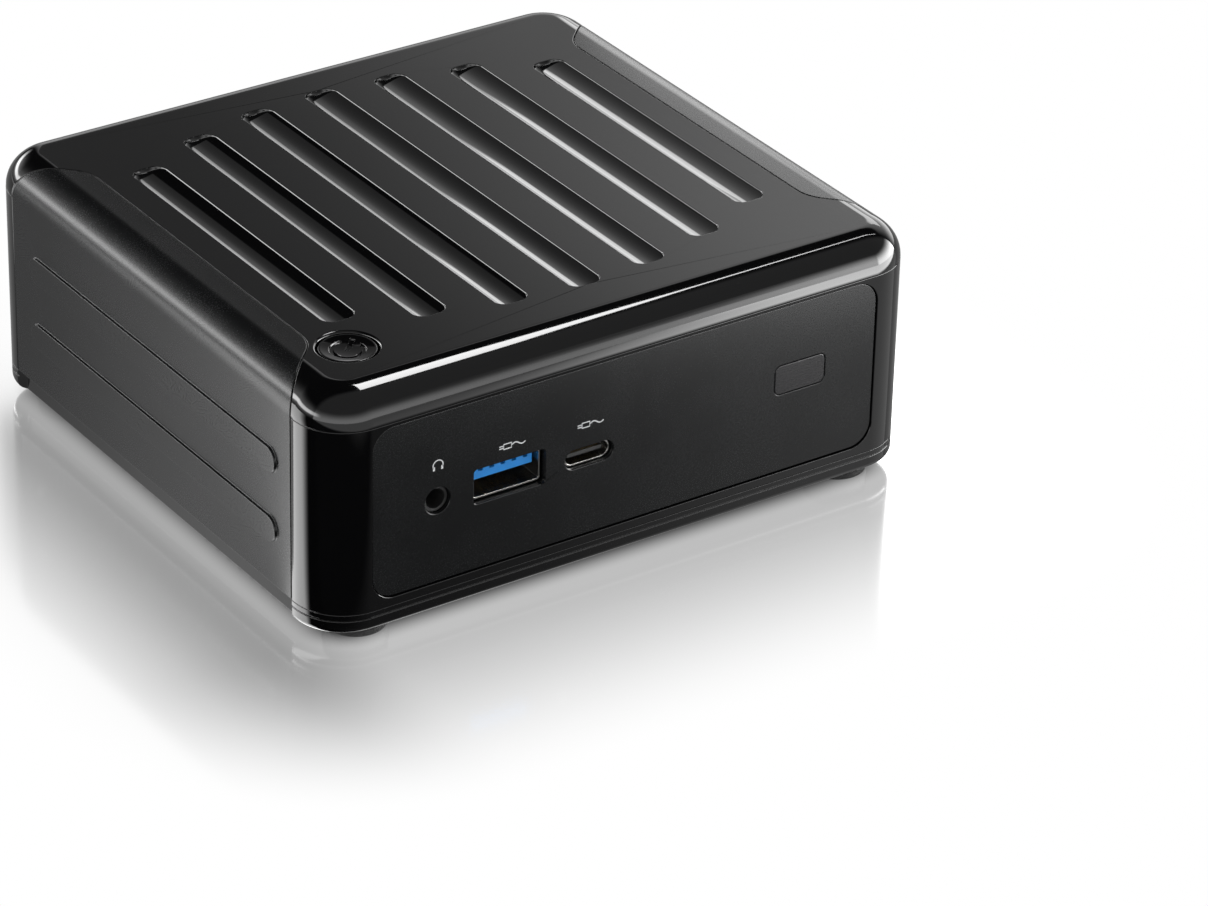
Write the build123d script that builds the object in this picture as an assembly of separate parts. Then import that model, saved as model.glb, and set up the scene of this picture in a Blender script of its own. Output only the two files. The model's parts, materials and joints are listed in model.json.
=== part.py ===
"""A palm-sized desktop computer, built as the assembly it comes apart into.

Millimetres. Z is up, -Y is the front with the user's sockets, +X is on the right when seen from the
front. The origin is on the table, under the middle of the enclosure.
"""
from build123d import *
import math
import os

os.makedirs("parts", exist_ok=True)

# Enclosure
BODY_W, BODY_D, BODY_H = 117.5, 110.0, 46.0
CORNER_R = 9.3            # vertical corners, in plan
TOP_R = 6.3               # rounding of the top edge
COVER_SEAM_Z = 39.7       # top cover above, frame below
BASE_SEAM_Z = 6.2         # frame above, bottom cover below
BASE_Z = 2.6              # underside of the bottom cover
HALF_W, HALF_D = BODY_W / 2, BODY_D / 2
FIT = 0.1                 # air between neighbouring mouldings

# Top cover
COVER_WALL = 2.6
TROUGH_COUNT, TROUGH_PITCH, TROUGH_W, TROUGH_DEPTH = 7, 13.5, 6.0, 0.8
TROUGH_CORNER_R = 2.0
TROUGH_MID_Y = 0.5
TROUGH_HALF_LENGTH = 42.4  # of the middle trough
TROUGH_ARC_R = 82.0        # the trough ends lie on arcs of this radius
LIP_IN, LIP_OUT, LIP_BOTTOM_Z, LIP_ROOT_Z = 4.4, 3.4, 37.9, 41.2

# Side panels
PANEL_T = 1.6
PANEL_TOP_X = 48.95        # straight edge of the panel on top of the enclosure
PANEL_MID_Y = 0.5
PANEL_SHOULDER_Y = 35.55   # where the edge turns outwards, either side of the middle
PANEL_SHOULDER_R = 7.0
RIB_Z = (16.5, 29.2)
RIB_LENGTH, RIB_HEIGHT, RIB_PROUD, RIB_MID_Y = 80.5, 4.7, 0.5, -0.5
CLIP_Y, CLIP_Z = (-28.0, 0.5, 29.0), 33.5

# Frame
FRAME_WALL = 3.3
WINDOW_X, WINDOW_Z = 44.0, (12.0, 35.0)
FOOT_X, FOOT_Y = 48.2, 47.4
LEDGE_X, LEDGE_Y = 47.0, 38.0

# Front panel
FACE_X, FACE_Z, FACE_CORNER_R = 49.5, (7.85, 38.9), 4.1
FACE_Y, FACE_BACK_Y = -54.7, -53.4
JACK_X, JACK_Z, JACK_HOLE_R, JACK_BORE_R = -37.2, 22.8, 2.42, 1.8
USB_A_X, USB_A_Z = -23.4, 23.0
USB_A_W, USB_A_H, FRONT_USB_Y = 12.4, 5.1, (-53.6, -39.8)   # inside of the sleeve
USB_C_X, USB_C_Z, USB_C_W, USB_C_H = -7.9, 22.4, 8.34, 2.66
IR_X, IR_Z, IR_W, IR_H, IR_R = 34.25, 25.2, 10.1, 5.3, 1.1

# Power button
BUTTON_X, BUTTON_Y = -44.7, -39.5
BUTTON_R, BUTTON_HOLE_R, BUTTON_FLANGE_R = 4.8, 5.15, 6.0
BUTTON_TOP_Z, BUTTON_FLANGE_Z = 45.75, 42.3
BUTTON_STEM_R, BUTTON_STEM_Z = 2.0, 40.4
DISH_R, DISH_DEPTH = 22.0, 0.45
ENGRAVED_Z, ENGRAVED_RING_R, ENGRAVED_LINE, ENGRAVED_GAP = 45.0, 3.0, 0.7, 1.65
PLUNGER_R = 1.7

# Bottom cover and feet
FOOT_R, FOOT_HOLE_R, FOOT_TOP_Z = 5.3, 3.0, 3.4
BASE_FLOOR_Z = 4.2
BASE_SIDE_INSET = 1.2      # the wall steps in under the side panels
BASE_EDGE_R = 1.2          # rounding of the lower edge
GROOVE_Z, GROOVE_DEPTH = (5.0, 5.2), 0.2   # fine line round the wall
BRACKET_SPACING = 90.0     # wall-bracket screw holes
M3_TAP_R, M3_R = 1.25, 1.5
INTAKE_X, INTAKE_START_Y, INTAKE_PITCH, INTAKE_COUNT = 46.8, 8.5, 3.6, 8
INTAKE_LENGTH, INTAKE_W = 13.0, 1.8

# Mainboard
BOARD_Z, BOARD_T = 18.8, 1.2
BOARD_TOP = BOARD_Z + BOARD_T
BOARD_X, BOARD_Y = 50.8, (-51.0, 50.6)
NOTCH_X, NOTCH_Y = 45.3, 43.8

MEMORY_Y = (-46.0, -10.5)
RADIO_X, RADIO_Y = -25.5, -26.0
CELL_X, CELL_Y, CELL_R = -37.0, 19.4, 10.0

# Plug-in cards and the drive
STORAGE_SCREW_X, STORAGE_SCREW_Y = -40.6, 38.3
CARD_NOTCH_R, STANDOFF_R = 1.8, 2.6
DRIVE_SCREW_Y, DRIVE_SCREW_Z = (-36.0, 36.0), 8.0
SHEET_BOTTOM_Z = 4.25

# Cooling
PLATE_ARM_X, PLATE_ARM_Y, PLATE_ARM_T = 21.0, 19.0, 1.2
FAN_X, FAN_Y, FAN_Z = 17.0, -2.0, 29.6
FAN_HEIGHT, FAN_WALL, FAN_HALF = 9.6, 1.0, 26.0
IMPELLER_R, HUB_R = 21.0, 10.5
BLADE_COUNT, BLADE_SWEEP, BLADE_T, BLADE_GAP = 29, 2.5, 0.5, 1.2
SHAFT_R, BEARING_BORE_R, BEARING_R = 1.0, 1.05, 2.5
PROCESSOR_X, PROCESSOR_Y, DIE_TOP = 12.0, -4.0, BOARD_TOP + 1.9
PIPE_W, PIPE_T, PIPE_BEND_R = 8.0, 2.8, 10.0
FIN_X, FIN_Y, FIN_Z = (-7.0, 45.0), (36.0, 50.5), (29.6, 37.6)
FIN_COUNT, FIN_T = 33, 0.3

# Rear
REAR_X, REAR_Z, REAR_R, REAR_Y, REAR_T = 45.4, (8.4, 38.2), 2.0, 53.6, 1.0
LAN_X, USB_STACK_X, USB_STACK_Z = -35.8, -19.8, (23.4, 32.5)
VIDEO_X, DISPLAY_X, VIDEO_Z = -2.0, 17.0, 22.9
INLET_X, INLET_Z = 39.3, 24.8
LOCK_X, LOCK_Z = 37.0, 13.4
EXHAUST_COUNT, EXHAUST_PITCH, EXHAUST_Z = 14, 3.7, 33.6


# ---------- small helpers ----------

def block(x, y, z):
    """A box from three (low, high) ranges."""
    size = [high - low for low, high in (x, y, z)]
    middle = [(high + low) / 2 for low, high in (x, y, z)]
    return Pos(*middle) * Box(*size)


def rod(x, y, z, radius):
    """An upright cylinder between the two heights in z."""
    return Pos(x, y, sum(z) / 2) * Cylinder(radius, z[1] - z[0])


def rod_along_y(x, z, y, radius):
    return Pos(x, sum(y) / 2, z) * Rot(90, 0, 0) * Cylinder(radius, y[1] - y[0])


def rod_along_x(y, z, x, radius):
    return Pos(sum(x) / 2, y, z) * Rot(0, 90, 0) * Cylinder(radius, x[1] - x[0])


def raise_from(plan, bottom, height):
    """The plan, drawn in XY, made into an upright solid that starts at the height bottom."""
    return Pos(0, 0, bottom) * extrude(plan, height, dir=(0, 0, 1))


def stand_along_y(outline, x, z, y):
    """An outline drawn in XZ round the middle, made solid across Y and put at (x, z)."""
    return Pos(x, y[1], z) * extrude(outline, y[1] - y[0], dir=(0, -1, 0))


def plate_along_y(width, height, radius, x, z, y):
    """A rounded plate that stands across Y, centred on (x, z)."""
    return stand_along_y(Plane.XZ * RectangleRounded(width, height, radius), x, z, y)


def both_sides(shape):
    """The shape and its mirror image across the middle of the enclosure."""
    return shape + mirror(shape, Plane.YZ)


def four_corners(x, y):
    return [(sx * x, sy * y) for sx in (-1, 1) for sy in (-1, 1)]


def slab(inset, z):
    """The enclosure's plan, stepped in by inset, between the two heights in z."""
    plan = RectangleRounded(BODY_W - 2 * inset, BODY_D - 2 * inset, CORNER_R - inset)
    return raise_from(plan, z[0], z[1] - z[0])


def dome(inset):
    """The enclosure's whole outer form, stepped in by inset, with its rounded top edge."""
    form = slab(inset, (0, BODY_H - inset))
    top = form.faces().sort_by(Axis.Z)[-1]
    return fillet(top.edges(), TOP_R - inset)


def screw(x, y, head_z, head_h, shank_r, length, head_r, down=True):
    """A pan-head screw with a cross recess; its head rests at head_z."""
    way = -1 if down else 1
    head = rod(x, y, sorted((head_z, head_z - way * head_h)), head_r)
    shank = rod(x, y, sorted((head_z, head_z + way * length)), shank_r)
    outside = head_z - way * head_h
    recess = sorted((outside, outside + way * head_h * 0.6))
    cross = block((x - head_r * 0.55, x + head_r * 0.55), (y - 0.3, y + 0.3), recess)
    cross += block((x - 0.3, x + 0.3), (y - head_r * 0.55, y + head_r * 0.55), recess)
    return head + shank - cross


def group(solids):
    return Compound(children=list(solids))


# ---------- enclosure ----------

def panel_plan(gap):
    """The right-hand side panel's outline in plan, widened by gap."""
    x, half, reach = PANEL_TOP_X - gap, PANEL_SHOULDER_Y + gap, 20.0
    low, high = PANEL_MID_Y - half, PANEL_MID_Y + half
    outline = Polygon((x, low), (x, high), (x + reach, high + reach), (x + reach, low - reach), align=None)
    shoulders = outline.vertices().sort_by(Axis.X)[:2]
    return fillet(shoulders, PANEL_SHOULDER_R)


def panel_zone(gap, bottom):
    """The upright space of both side panels."""
    return both_sides(raise_from(panel_plan(gap), bottom, BODY_H + 1 - bottom))


def panel_seat():
    """What the covers give up so that the side panels lie flush."""
    skin = dome(0) - dome(PANEL_T + FIT)
    return skin & panel_zone(FIT, 0)


def trough(x):
    """One shallow trough with a round bottom and softly squared ends."""
    end = TROUGH_HALF_LENGTH - (TROUGH_ARC_R - math.sqrt(TROUGH_ARC_R ** 2 - x ** 2))
    radius = (TROUGH_W ** 2 / 4 + TROUGH_DEPTH ** 2) / (2 * TROUGH_DEPTH)
    round_bottom = rod_along_y(x, BODY_H - TROUGH_DEPTH + radius, (-60, 60), radius)
    plan = RectangleRounded(TROUGH_W, 2 * end, TROUGH_CORNER_R)
    return round_bottom & (Pos(x, TROUGH_MID_Y, BODY_H - 3) * extrude(plan, 6))


def trough_centres():
    return [(i - (TROUGH_COUNT - 1) / 2) * TROUGH_PITCH for i in range(TROUGH_COUNT)]


def switch_pillars():
    return [(BUTTON_X - 5.8, BUTTON_Y + 5.5), (BUTTON_X + 6.2, BUTTON_Y + 5.5)]


def top_cover():
    skin = (dome(0) - dome(COVER_WALL)) & slab(0, (COVER_SEAM_Z, BODY_H))
    root = slab(2.0, (COVER_SEAM_Z, LIP_ROOT_Z)) - slab(LIP_IN, (COVER_SEAM_Z, LIP_ROOT_Z))
    lip = slab(LIP_OUT, (LIP_BOTTOM_Z, COVER_SEAM_Z)) - slab(LIP_IN, (LIP_BOTTOM_Z, COVER_SEAM_Z))
    cover = skin + root + lip - panel_seat()
    for x in trough_centres():
        cover -= trough(x)
    hole = rod(BUTTON_X, BUTTON_Y, (BODY_H - 5, BODY_H + 1), BUTTON_HOLE_R)
    bevel = Pos(BUTTON_X, BUTTON_Y, BODY_H - 0.15) * Cone(BUTTON_HOLE_R, BUTTON_HOLE_R + 0.3, 0.3)
    cover = cover - hole - bevel
    for x, y in switch_pillars():
        cover += rod(x, y, (37.2, BODY_H - COVER_WALL + 0.4), 1.9)
        cover -= rod(x, y, (37.2, 42.0), 0.8)
    return cover


def side_panel_right():
    skin = dome(0) - dome(PANEL_T)
    panel = skin & raise_from(panel_plan(0), BASE_SEAM_Z, BODY_H)
    for z in RIB_Z:
        rib = Plane.YZ * SlotOverall(RIB_LENGTH, RIB_HEIGHT)
        panel += Pos(HALF_W - 0.4, RIB_MID_Y, z) * extrude(rib, RIB_PROUD + 0.4)
    for y in CLIP_Y:
        panel += block((54.4, HALF_W - 1), (y - 3, y + 3), (CLIP_Z - 0.7, CLIP_Z + 0.7))
        panel += block((54.4, 55.3), (y - 3, y + 3), (CLIP_Z - 0.7, CLIP_Z + 1.2))
    return panel


def mid_frame():
    height = (BASE_SEAM_Z, COVER_SEAM_Z)
    frame = slab(0, height) - slab(FRAME_WALL, height) - panel_seat()
    inner = slab(2.0, (BASE_SEAM_Z + 2.2, 37.6))
    for x, y in four_corners(50.5, 49.0):
        frame += inner & block((x - 4.5, x + 4.5), (y - 4.5, y + 4.5), (BASE_SEAM_Z + 2.2, 37.6))
    for y in (-LEDGE_Y, LEDGE_Y):
        frame += both_sides(block((LEDGE_X - 3.4, 55.7), (y - 3.5, y + 3.5), (14.8, BOARD_Z)))
    for x, y in four_corners(LEDGE_X, LEDGE_Y):
        frame -= rod(x, y, (14.8, BOARD_Z), M3_TAP_R)
    for x, y in four_corners(FOOT_X, FOOT_Y):
        frame -= rod(x, y, (BASE_SEAM_Z, 16.0), M3_TAP_R)
    face_w, face_h = 2 * FACE_X + 0.3, FACE_Z[1] - FACE_Z[0] + 0.3
    face_z = sum(FACE_Z) / 2
    frame -= plate_along_y(face_w, face_h, FACE_CORNER_R + 0.15, 0, face_z, (-HALF_D - 1, FACE_BACK_Y))
    frame -= block((-WINDOW_X, WINDOW_X), (-HALF_D, -50), WINDOW_Z)
    rear_h, rear_z = REAR_Z[1] - REAR_Z[0] + 0.3, sum(REAR_Z) / 2
    frame -= plate_along_y(2 * REAR_X + 0.3, rear_h, REAR_R, 0, rear_z, (REAR_Y, HALF_D + 1))
    frame -= block((-REAR_X + 1.4, REAR_X - 1.4), (50, HALF_D), (REAR_Z[0] + 1.4, REAR_Z[1] - 1.4))
    slot_z = (CLIP_Z - 0.8, CLIP_Z + 1.3)
    for y in CLIP_Y:
        frame -= both_sides(block((55, HALF_W), (y - 3.2, y + 3.2), slot_z))
    return frame


def front_panel():
    face_z, face_h = sum(FACE_Z) / 2, FACE_Z[1] - FACE_Z[0]
    through = (FACE_Y - 1, FACE_BACK_Y + 1)
    panel = plate_along_y(2 * FACE_X, face_h, FACE_CORNER_R, 0, face_z, (FACE_Y, FACE_BACK_Y))
    panel -= rod_along_y(JACK_X, JACK_Z, through, JACK_HOLE_R)
    panel -= plate_along_y(13.8, 6.4, 0.7, USB_A_X, USB_A_Z, through)
    panel -= plate_along_y(9.5, 3.6, 1.75, USB_C_X, USB_C_Z, through)
    panel -= plate_along_y(IR_W + 0.3, IR_H + 0.3, IR_R + 0.15, IR_X, IR_Z, through)
    return panel


def ir_window():
    return plate_along_y(IR_W, IR_H, IR_R, IR_X, IR_Z, (FACE_Y, FACE_BACK_Y + 0.6))


def bottom_form():
    """The outside of the bottom cover, stepped in under the side panels."""
    form = slab(0, (BASE_Z, BASE_SEAM_Z))
    low = form.faces().sort_by(Axis.Z)[0]
    form = fillet(low.edges(), BASE_EDGE_R)
    form -= slab(0, GROOVE_Z) - slab(GROOVE_DEPTH, GROOVE_Z)
    step = slab(0, (0, BASE_SEAM_Z)) - slab(BASE_SIDE_INSET, (0, BASE_SEAM_Z))
    return form - (step & panel_zone(FIT, 0))


def intake_slots():
    """Rows of air intakes along both sides of the floor, clear of the bracket holes."""
    slots = []
    for side in (-1, 1):
        for end in (-1, 1):
            for i in range(INTAKE_COUNT):
                spot = Pos(side * INTAKE_X, end * (INTAKE_START_Y + i * INTAKE_PITCH), 0)
                slots.append(spot * extrude(SlotOverall(INTAKE_LENGTH, INTAKE_W), 6))
    return slots


def bottom_cover():
    floor = bottom_form() - slab(3.0, (BASE_FLOOR_Z, 10))
    lip = slab(FRAME_WALL + FIT, (BASE_FLOOR_Z - 0.4, 8.0)) - slab(4.6, (BASE_FLOOR_Z - 0.4, 8.0))
    cover = floor + lip
    for x, y in four_corners(FOOT_X, FOOT_Y):
        cover += rod(x, y, (BASE_FLOOR_Z - 0.4, 8.3), 3.6) & slab(FRAME_WALL + FIT, (0, 10))
    for x, y in four_corners(FOOT_X, FOOT_Y):
        cover -= rod(x, y, (BASE_Z - 1, FOOT_TOP_Z), FOOT_R + 0.1)
        cover -= rod(x, y, (BASE_Z - 1, 6.0), FOOT_HOLE_R)
        cover -= rod(x, y, (BASE_Z - 1, 10), M3_R + 0.2)
    for side in (-1, 1):
        x = side * BRACKET_SPACING / 2
        cover += rod(x, 0, (BASE_FLOOR_Z - 0.4, 8.6), 3.0)
        cover -= rod(x, 0, (BASE_Z - 1, 8.0), M3_TAP_R)
    for cut in intake_slots():
        cover -= cut
    return cover


def foot(x, y):
    """A rubber ring round the captive screw, with softened edges."""
    ring = rod(x, y, (0, FOOT_TOP_Z), FOOT_R)
    low = ring.faces().sort_by(Axis.Z)[0]
    ring = fillet(low.edges(), 0.6)
    return ring - rod(x, y, (-1, FOOT_TOP_Z + 1), FOOT_HOLE_R)


def bottom_cover_screws():
    return group(screw(x, y, 6.0, 2.2, 1.2, 8.5, 2.7, down=False) for x, y in four_corners(FOOT_X, FOOT_Y))


# ---------- power button ----------

def engraved_symbol():
    """An open ring and a bar, turned so that the opening faces the rear right corner."""
    z = (ENGRAVED_Z, BODY_H)
    ring = rod(0, 0, z, ENGRAVED_RING_R) - rod(0, 0, z, ENGRAVED_RING_R - ENGRAVED_LINE)
    ring -= block((-ENGRAVED_GAP, ENGRAVED_GAP), (0, 4), z)
    bar = block((-ENGRAVED_LINE / 2, ENGRAVED_LINE / 2), (-0.2, 3.5), z)
    return Pos(BUTTON_X, BUTTON_Y, 0) * Rot(0, 0, -45) * (ring + bar)


def power_button():
    """A dished cap with an engraved ring and bar, on a flange and a stem."""
    cap = rod(BUTTON_X, BUTTON_Y, (BUTTON_FLANGE_Z, BUTTON_TOP_Z), BUTTON_R)
    cap += rod(BUTTON_X, BUTTON_Y, (BUTTON_FLANGE_Z, BUTTON_FLANGE_Z + 1), BUTTON_FLANGE_R)
    cap += rod(BUTTON_X, BUTTON_Y, (BUTTON_STEM_Z, BUTTON_FLANGE_Z), BUTTON_STEM_R)
    cap -= Pos(BUTTON_X, BUTTON_Y, BUTTON_TOP_Z + DISH_R - DISH_DEPTH) * Sphere(DISH_R)
    return cap - engraved_symbol()


def power_switch_board():
    board = block((BUTTON_X - 8, BUTTON_X + 8.5), (BUTTON_Y - 4.4, BUTTON_Y + 8), (35.8, 37.2))
    for x, y in switch_pillars():
        board -= rod(x, y, (35, 38), 1.1)
    return board


def power_switch_body():
    body = block((BUTTON_X - 3, BUTTON_X + 3), (BUTTON_Y - 3, BUTTON_Y + 3), (37.2, 39.3))
    return body - rod(BUTTON_X, BUTTON_Y, (37.6, 39.3), PLUNGER_R + 0.1)


def power_switch_plunger():
    return rod(BUTTON_X, BUTTON_Y, (38.3, 40.35), PLUNGER_R)


def switch_board_screws():
    return group(screw(x, y, 35.8, 1.0, 0.75, 4.5, 1.6, down=False) for x, y in switch_pillars())


# ---------- front sockets ----------

def headset_jack():
    body = block((JACK_X - 3.3, JACK_X + 3.3), (-51.6, -39.6), (BOARD_TOP, 25.9))
    body += rod_along_y(JACK_X, JACK_Z, (-53.9, -51.6), 2.3)
    body -= rod_along_y(JACK_X, JACK_Z, (-54.0, -41.9), JACK_BORE_R)
    return body - block((JACK_X - 0.6, JACK_X + 0.6), (-50.4, -46.0), (20.6, JACK_Z))


def headset_contact():
    """The sprung strip that meets the plug, in its slot below the bore."""
    return block((JACK_X - 0.45, JACK_X + 0.45), (-50.2, -46.2), (20.7, 20.95))


def usb_a_shell(x, z, y):
    """A drawn metal sleeve, open at the front, round a plug 12 x 4.5 mm."""
    sleeve = plate_along_y(USB_A_W + 0.7, USB_A_H + 0.7, 0.6, x, z, y)
    return sleeve - plate_along_y(USB_A_W, USB_A_H, 0.35, x, z, (y[0] - 1, y[1] + 1))


def usb_a_tongue(x, z, y, back):
    """The insulator: a tongue over the plug's place and the block that carries it."""
    tongue = block((x - 5.6, x + 5.6), y, (z + 0.1, z + 2.0))
    carrier = plate_along_y(USB_A_W, USB_A_H, 0.35, x, z, back)
    for i in range(5):
        slot_x = x + (i - 2) * 2.15
        tongue -= block((slot_x - 0.45, slot_x + 0.45), (y[0], y[0] + 3.2), (z + 1.4, z + 2.1))
    return tongue + carrier


def usb_a_contacts(x, z, y):
    """Four flat strips on the underside of the tongue."""
    spots = (-3.5, -1.0, 1.0, 3.5)
    return [block((x + s - 0.5, x + s + 0.5), (y[0] + 1.2, y[1]), (z - 0.1, z + 0.1)) for s in spots]


def usb_c_shell():
    sleeve = plate_along_y(USB_C_W + 0.6, USB_C_H + 0.6, 1.62, USB_C_X, USB_C_Z, (-53.8, -43.6))
    return sleeve - plate_along_y(USB_C_W, USB_C_H, 1.32, USB_C_X, USB_C_Z, (-54.8, -44.6))


def usb_c_tongue():
    return block((USB_C_X - 3.35, USB_C_X + 3.35), (-53.2, -44.6), (USB_C_Z - 0.35, USB_C_Z + 0.35))


def ir_receiver():
    body = block((IR_X - 2.8, IR_X + 2.8), (-50.4, -46.6), (BOARD_TOP, 28.4))
    lens = Pos(IR_X, -50.4, IR_Z) * Sphere(2.3)
    return body + (lens & block((IR_X - 3, IR_X + 3), (-52.9, -49.0), (22, 29)))


# ---------- mainboard ----------

def mainboard():
    board = block((-BOARD_X, BOARD_X), BOARD_Y, (BOARD_Z, BOARD_TOP))
    for sx in (-1, 1):
        for sy in (-1, 1):
            x, y = sorted((sx * NOTCH_X, sx * 60)), sorted((sy * NOTCH_Y, sy * 60))
            board -= block(x, y, (BOARD_Z - 1, BOARD_TOP + 1))
    for x, y in four_corners(LEDGE_X, LEDGE_Y):
        board -= rod(x, y, (BOARD_Z - 1, BOARD_TOP + 1), 1.7)
    return board


def mainboard_screws():
    return group(screw(x, y, BOARD_TOP, 1.6, 1.2, 4.6, 2.7) for x, y in four_corners(LEDGE_X, LEDGE_Y))


def processor_package():
    x, y = PROCESSOR_X, PROCESSOR_Y
    package = block((x - 21, x + 21), (y - 12, y + 12), (BOARD_TOP, BOARD_TOP + 1.1))
    return package + block((x - 8, x + 5), (y - 5.5, y + 5.5), (BOARD_TOP + 1.1, DIE_TOP))


def cold_plate():
    """A copper slab on the processor, with four arms for its sprung screws."""
    x, y, low = PROCESSOR_X, PROCESSOR_Y, DIE_TOP
    arm_z = (low, low + PLATE_ARM_T)
    plate = block((x - 15, x + 15), (y - 14, y + 14), (low, 26.8))
    for sx, sy in four_corners(PLATE_ARM_X, PLATE_ARM_Y):
        plate += block(sorted((x, x + sx + math.copysign(3, sx))), (y + sy - 3, y + sy + 3), arm_z)
        plate += block(sorted((x, x + math.copysign(15, sx))), sorted((y, y + sy)), arm_z)
    for sx, sy in four_corners(PLATE_ARM_X, PLATE_ARM_Y):
        plate -= rod(x + sx, y + sy, (low - 1, low + 2), 1.6)
    return plate


def heatsink_screws():
    head_z = DIE_TOP + PLATE_ARM_T + 2.6
    spots = four_corners(PLATE_ARM_X, PLATE_ARM_Y)
    x, y = PROCESSOR_X, PROCESSOR_Y
    return group(screw(x + sx, y + sy, head_z, 1.2, 1.2, head_z - BOARD_TOP, 2.4) for sx, sy in spots)


def heatsink_springs():
    """Four short coil springs that press the cold plate down."""
    low, springs = DIE_TOP + PLATE_ARM_T, []
    for sx, sy in four_corners(PLATE_ARM_X, PLATE_ARM_Y):
        coil = Helix(pitch=0.85, height=1.9, radius=1.85)
        start = Plane(origin=coil @ 0, z_dir=coil % 0)
        wire = sweep(start * Circle(0.25), path=coil)
        springs.append(Pos(PROCESSOR_X + sx, PROCESSOR_Y + sy, low + 0.3) * wire)
    return group(springs)


def heat_pipe():
    """A flattened pipe from the cold plate, round a bend and along under the fins."""
    z, x, start_y, end_y = FAN_Z - PIPE_T / 2, PROCESSOR_X, -16.0, 43.5
    path = FilletPolyline((x, start_y, z), (x, end_y, z), (34, end_y, z), radius=PIPE_BEND_R)
    section = Plane(origin=(x, start_y, z), x_dir=(1, 0, 0), z_dir=(0, 1, 0)) * SlotOverall(PIPE_W, PIPE_T)
    return sweep(section, path=path)


def fin_stack():
    """Folded fins standing along Y on a thin base."""
    base = block(FIN_X, FIN_Y, (FIN_Z[0], FIN_Z[0] + 0.5))
    pitch = (FIN_X[1] - FIN_X[0] - FIN_T) / (FIN_COUNT - 1)
    for i in range(FIN_COUNT):
        x = FIN_X[0] + i * pitch
        base += block((x, x + FIN_T), FIN_Y, FIN_Z)
    return base


# ---------- fan ----------

def fan_housing():
    """A tray with a round well and a mouth towards the fins."""
    top = FAN_Z + FAN_HEIGHT - 0.6
    tray = block((FAN_X - FAN_HALF, FAN_X + FAN_HALF), (FAN_Y - FAN_HALF, 35.8), (FAN_Z, top))
    well = rod(FAN_X, FAN_Y, (FAN_Z + FAN_WALL, top), IMPELLER_R + 2.5)
    mouth_x = (FAN_X - IMPELLER_R - 2.5, FAN_X + FAN_HALF - 1.2)
    mouth = block(mouth_x, (FAN_Y, 36), (FAN_Z + FAN_WALL, top))
    collar = rod(FAN_X, FAN_Y, (FAN_Z, FAN_Z + 2.6), 3.2)
    socket = rod(FAN_X, FAN_Y, (FAN_Z + FAN_WALL, FAN_Z + 3), BEARING_R)
    return tray - well - mouth + collar - socket


def fan_cover():
    low = FAN_Z + FAN_HEIGHT - 0.6
    sheet = block((FAN_X - FAN_HALF, FAN_X + FAN_HALF), (FAN_Y - FAN_HALF, 35.8), (low, low + 0.6))
    return sheet - rod(FAN_X, FAN_Y, (low - 1, low + 2), 15.5)


def fan_bearing():
    sleeve = rod(FAN_X, FAN_Y, (FAN_Z + FAN_WALL, FAN_Z + 4.8), BEARING_R)
    return sleeve - rod(FAN_X, FAN_Y, (FAN_Z + 1.3, FAN_Z + 6), BEARING_BORE_R)


def fan_stator():
    """The motor's fixed coil core, with four poles round the bearing."""
    z = (FAN_Z + 2.8, FAN_Z + 5.2)
    core = rod(FAN_X, FAN_Y, z, 4.2)
    for angle in range(0, 360, 90):
        pole = Rot(0, 0, angle) * block((0, 7.8), (-1.5, 1.5), (0, z[1] - z[0]))
        core += Pos(FAN_X, FAN_Y, z[0]) * pole
    return core - rod(FAN_X, FAN_Y, (z[0] - 1, z[1] + 1), 2.55)


def fan_impeller():
    """A hub cup with a ring of swept blades round its rim."""
    low, high = FAN_Z + 1.8, FAN_Z + 8.2
    hub = rod(0, 0, (low + 0.6, high), HUB_R) - rod(0, 0, (low, high - 1.0), HUB_R - 1.0)
    hub += rod(0, 0, (high - 3.2, high), 2.2)
    hub -= rod(0, 0, (high - 3.4, high - 0.9), SHAFT_R)
    wheel = hub + rod(0, 0, (low + 0.6, low + 1.2), IMPELLER_R - 3) - rod(0, 0, (low, low + 2), HUB_R - 0.5)
    swept = (-BLADE_SWEEP - BLADE_T / 2, -BLADE_SWEEP + BLADE_T / 2)
    blade = block((HUB_R - BLADE_GAP, IMPELLER_R - BLADE_GAP), swept, (low + 0.6, high - 0.2))
    for i in range(BLADE_COUNT):
        wheel += Rot(0, 0, i * 360 / BLADE_COUNT) * blade
    return Pos(FAN_X, FAN_Y, 0) * wheel


def fan_shaft():
    return rod(FAN_X, FAN_Y, (FAN_Z + 1.4, FAN_Z + 7.3), SHAFT_R)


# ---------- memory, storage and radio ----------

def memory_sockets():
    """Two edge sockets under the board, each with its two side arms."""
    sockets = []
    for y in MEMORY_Y:
        body = block((-36.5, 36.5), (y, y + 5.6), (13.6, BOARD_Z))
        body -= block((-34.0, 34.0), (y + 2.0, y + 5.6), (14.5, 15.9))
        body += both_sides(block((34.9, 36.5), (y + 5.6, y + 27), (14.3, BOARD_Z)))
        sockets.append(body)
    return group(sockets)


def memory_modules():
    """Two bare modules, each with four packages on its lower face."""
    modules = []
    for y in MEMORY_Y:
        card = block((-33.8, 33.8), (y + 2.1, y + 31.8), (14.6, 15.8))
        for x in (-25.5, -9.5, 9.5, 25.5):
            card += block((x - 5.5, x + 5.5), (y + 12, y + 25), (13.7, 14.6))
        modules.append(card)
    return group(modules)


def ssd_socket():
    body = block((37.2, 41.8), (27.0, 49.6), (15.6, BOARD_Z))
    return body - block((37.2, 39.6), (27.6, 49.0), (16.6, 17.4))


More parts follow.
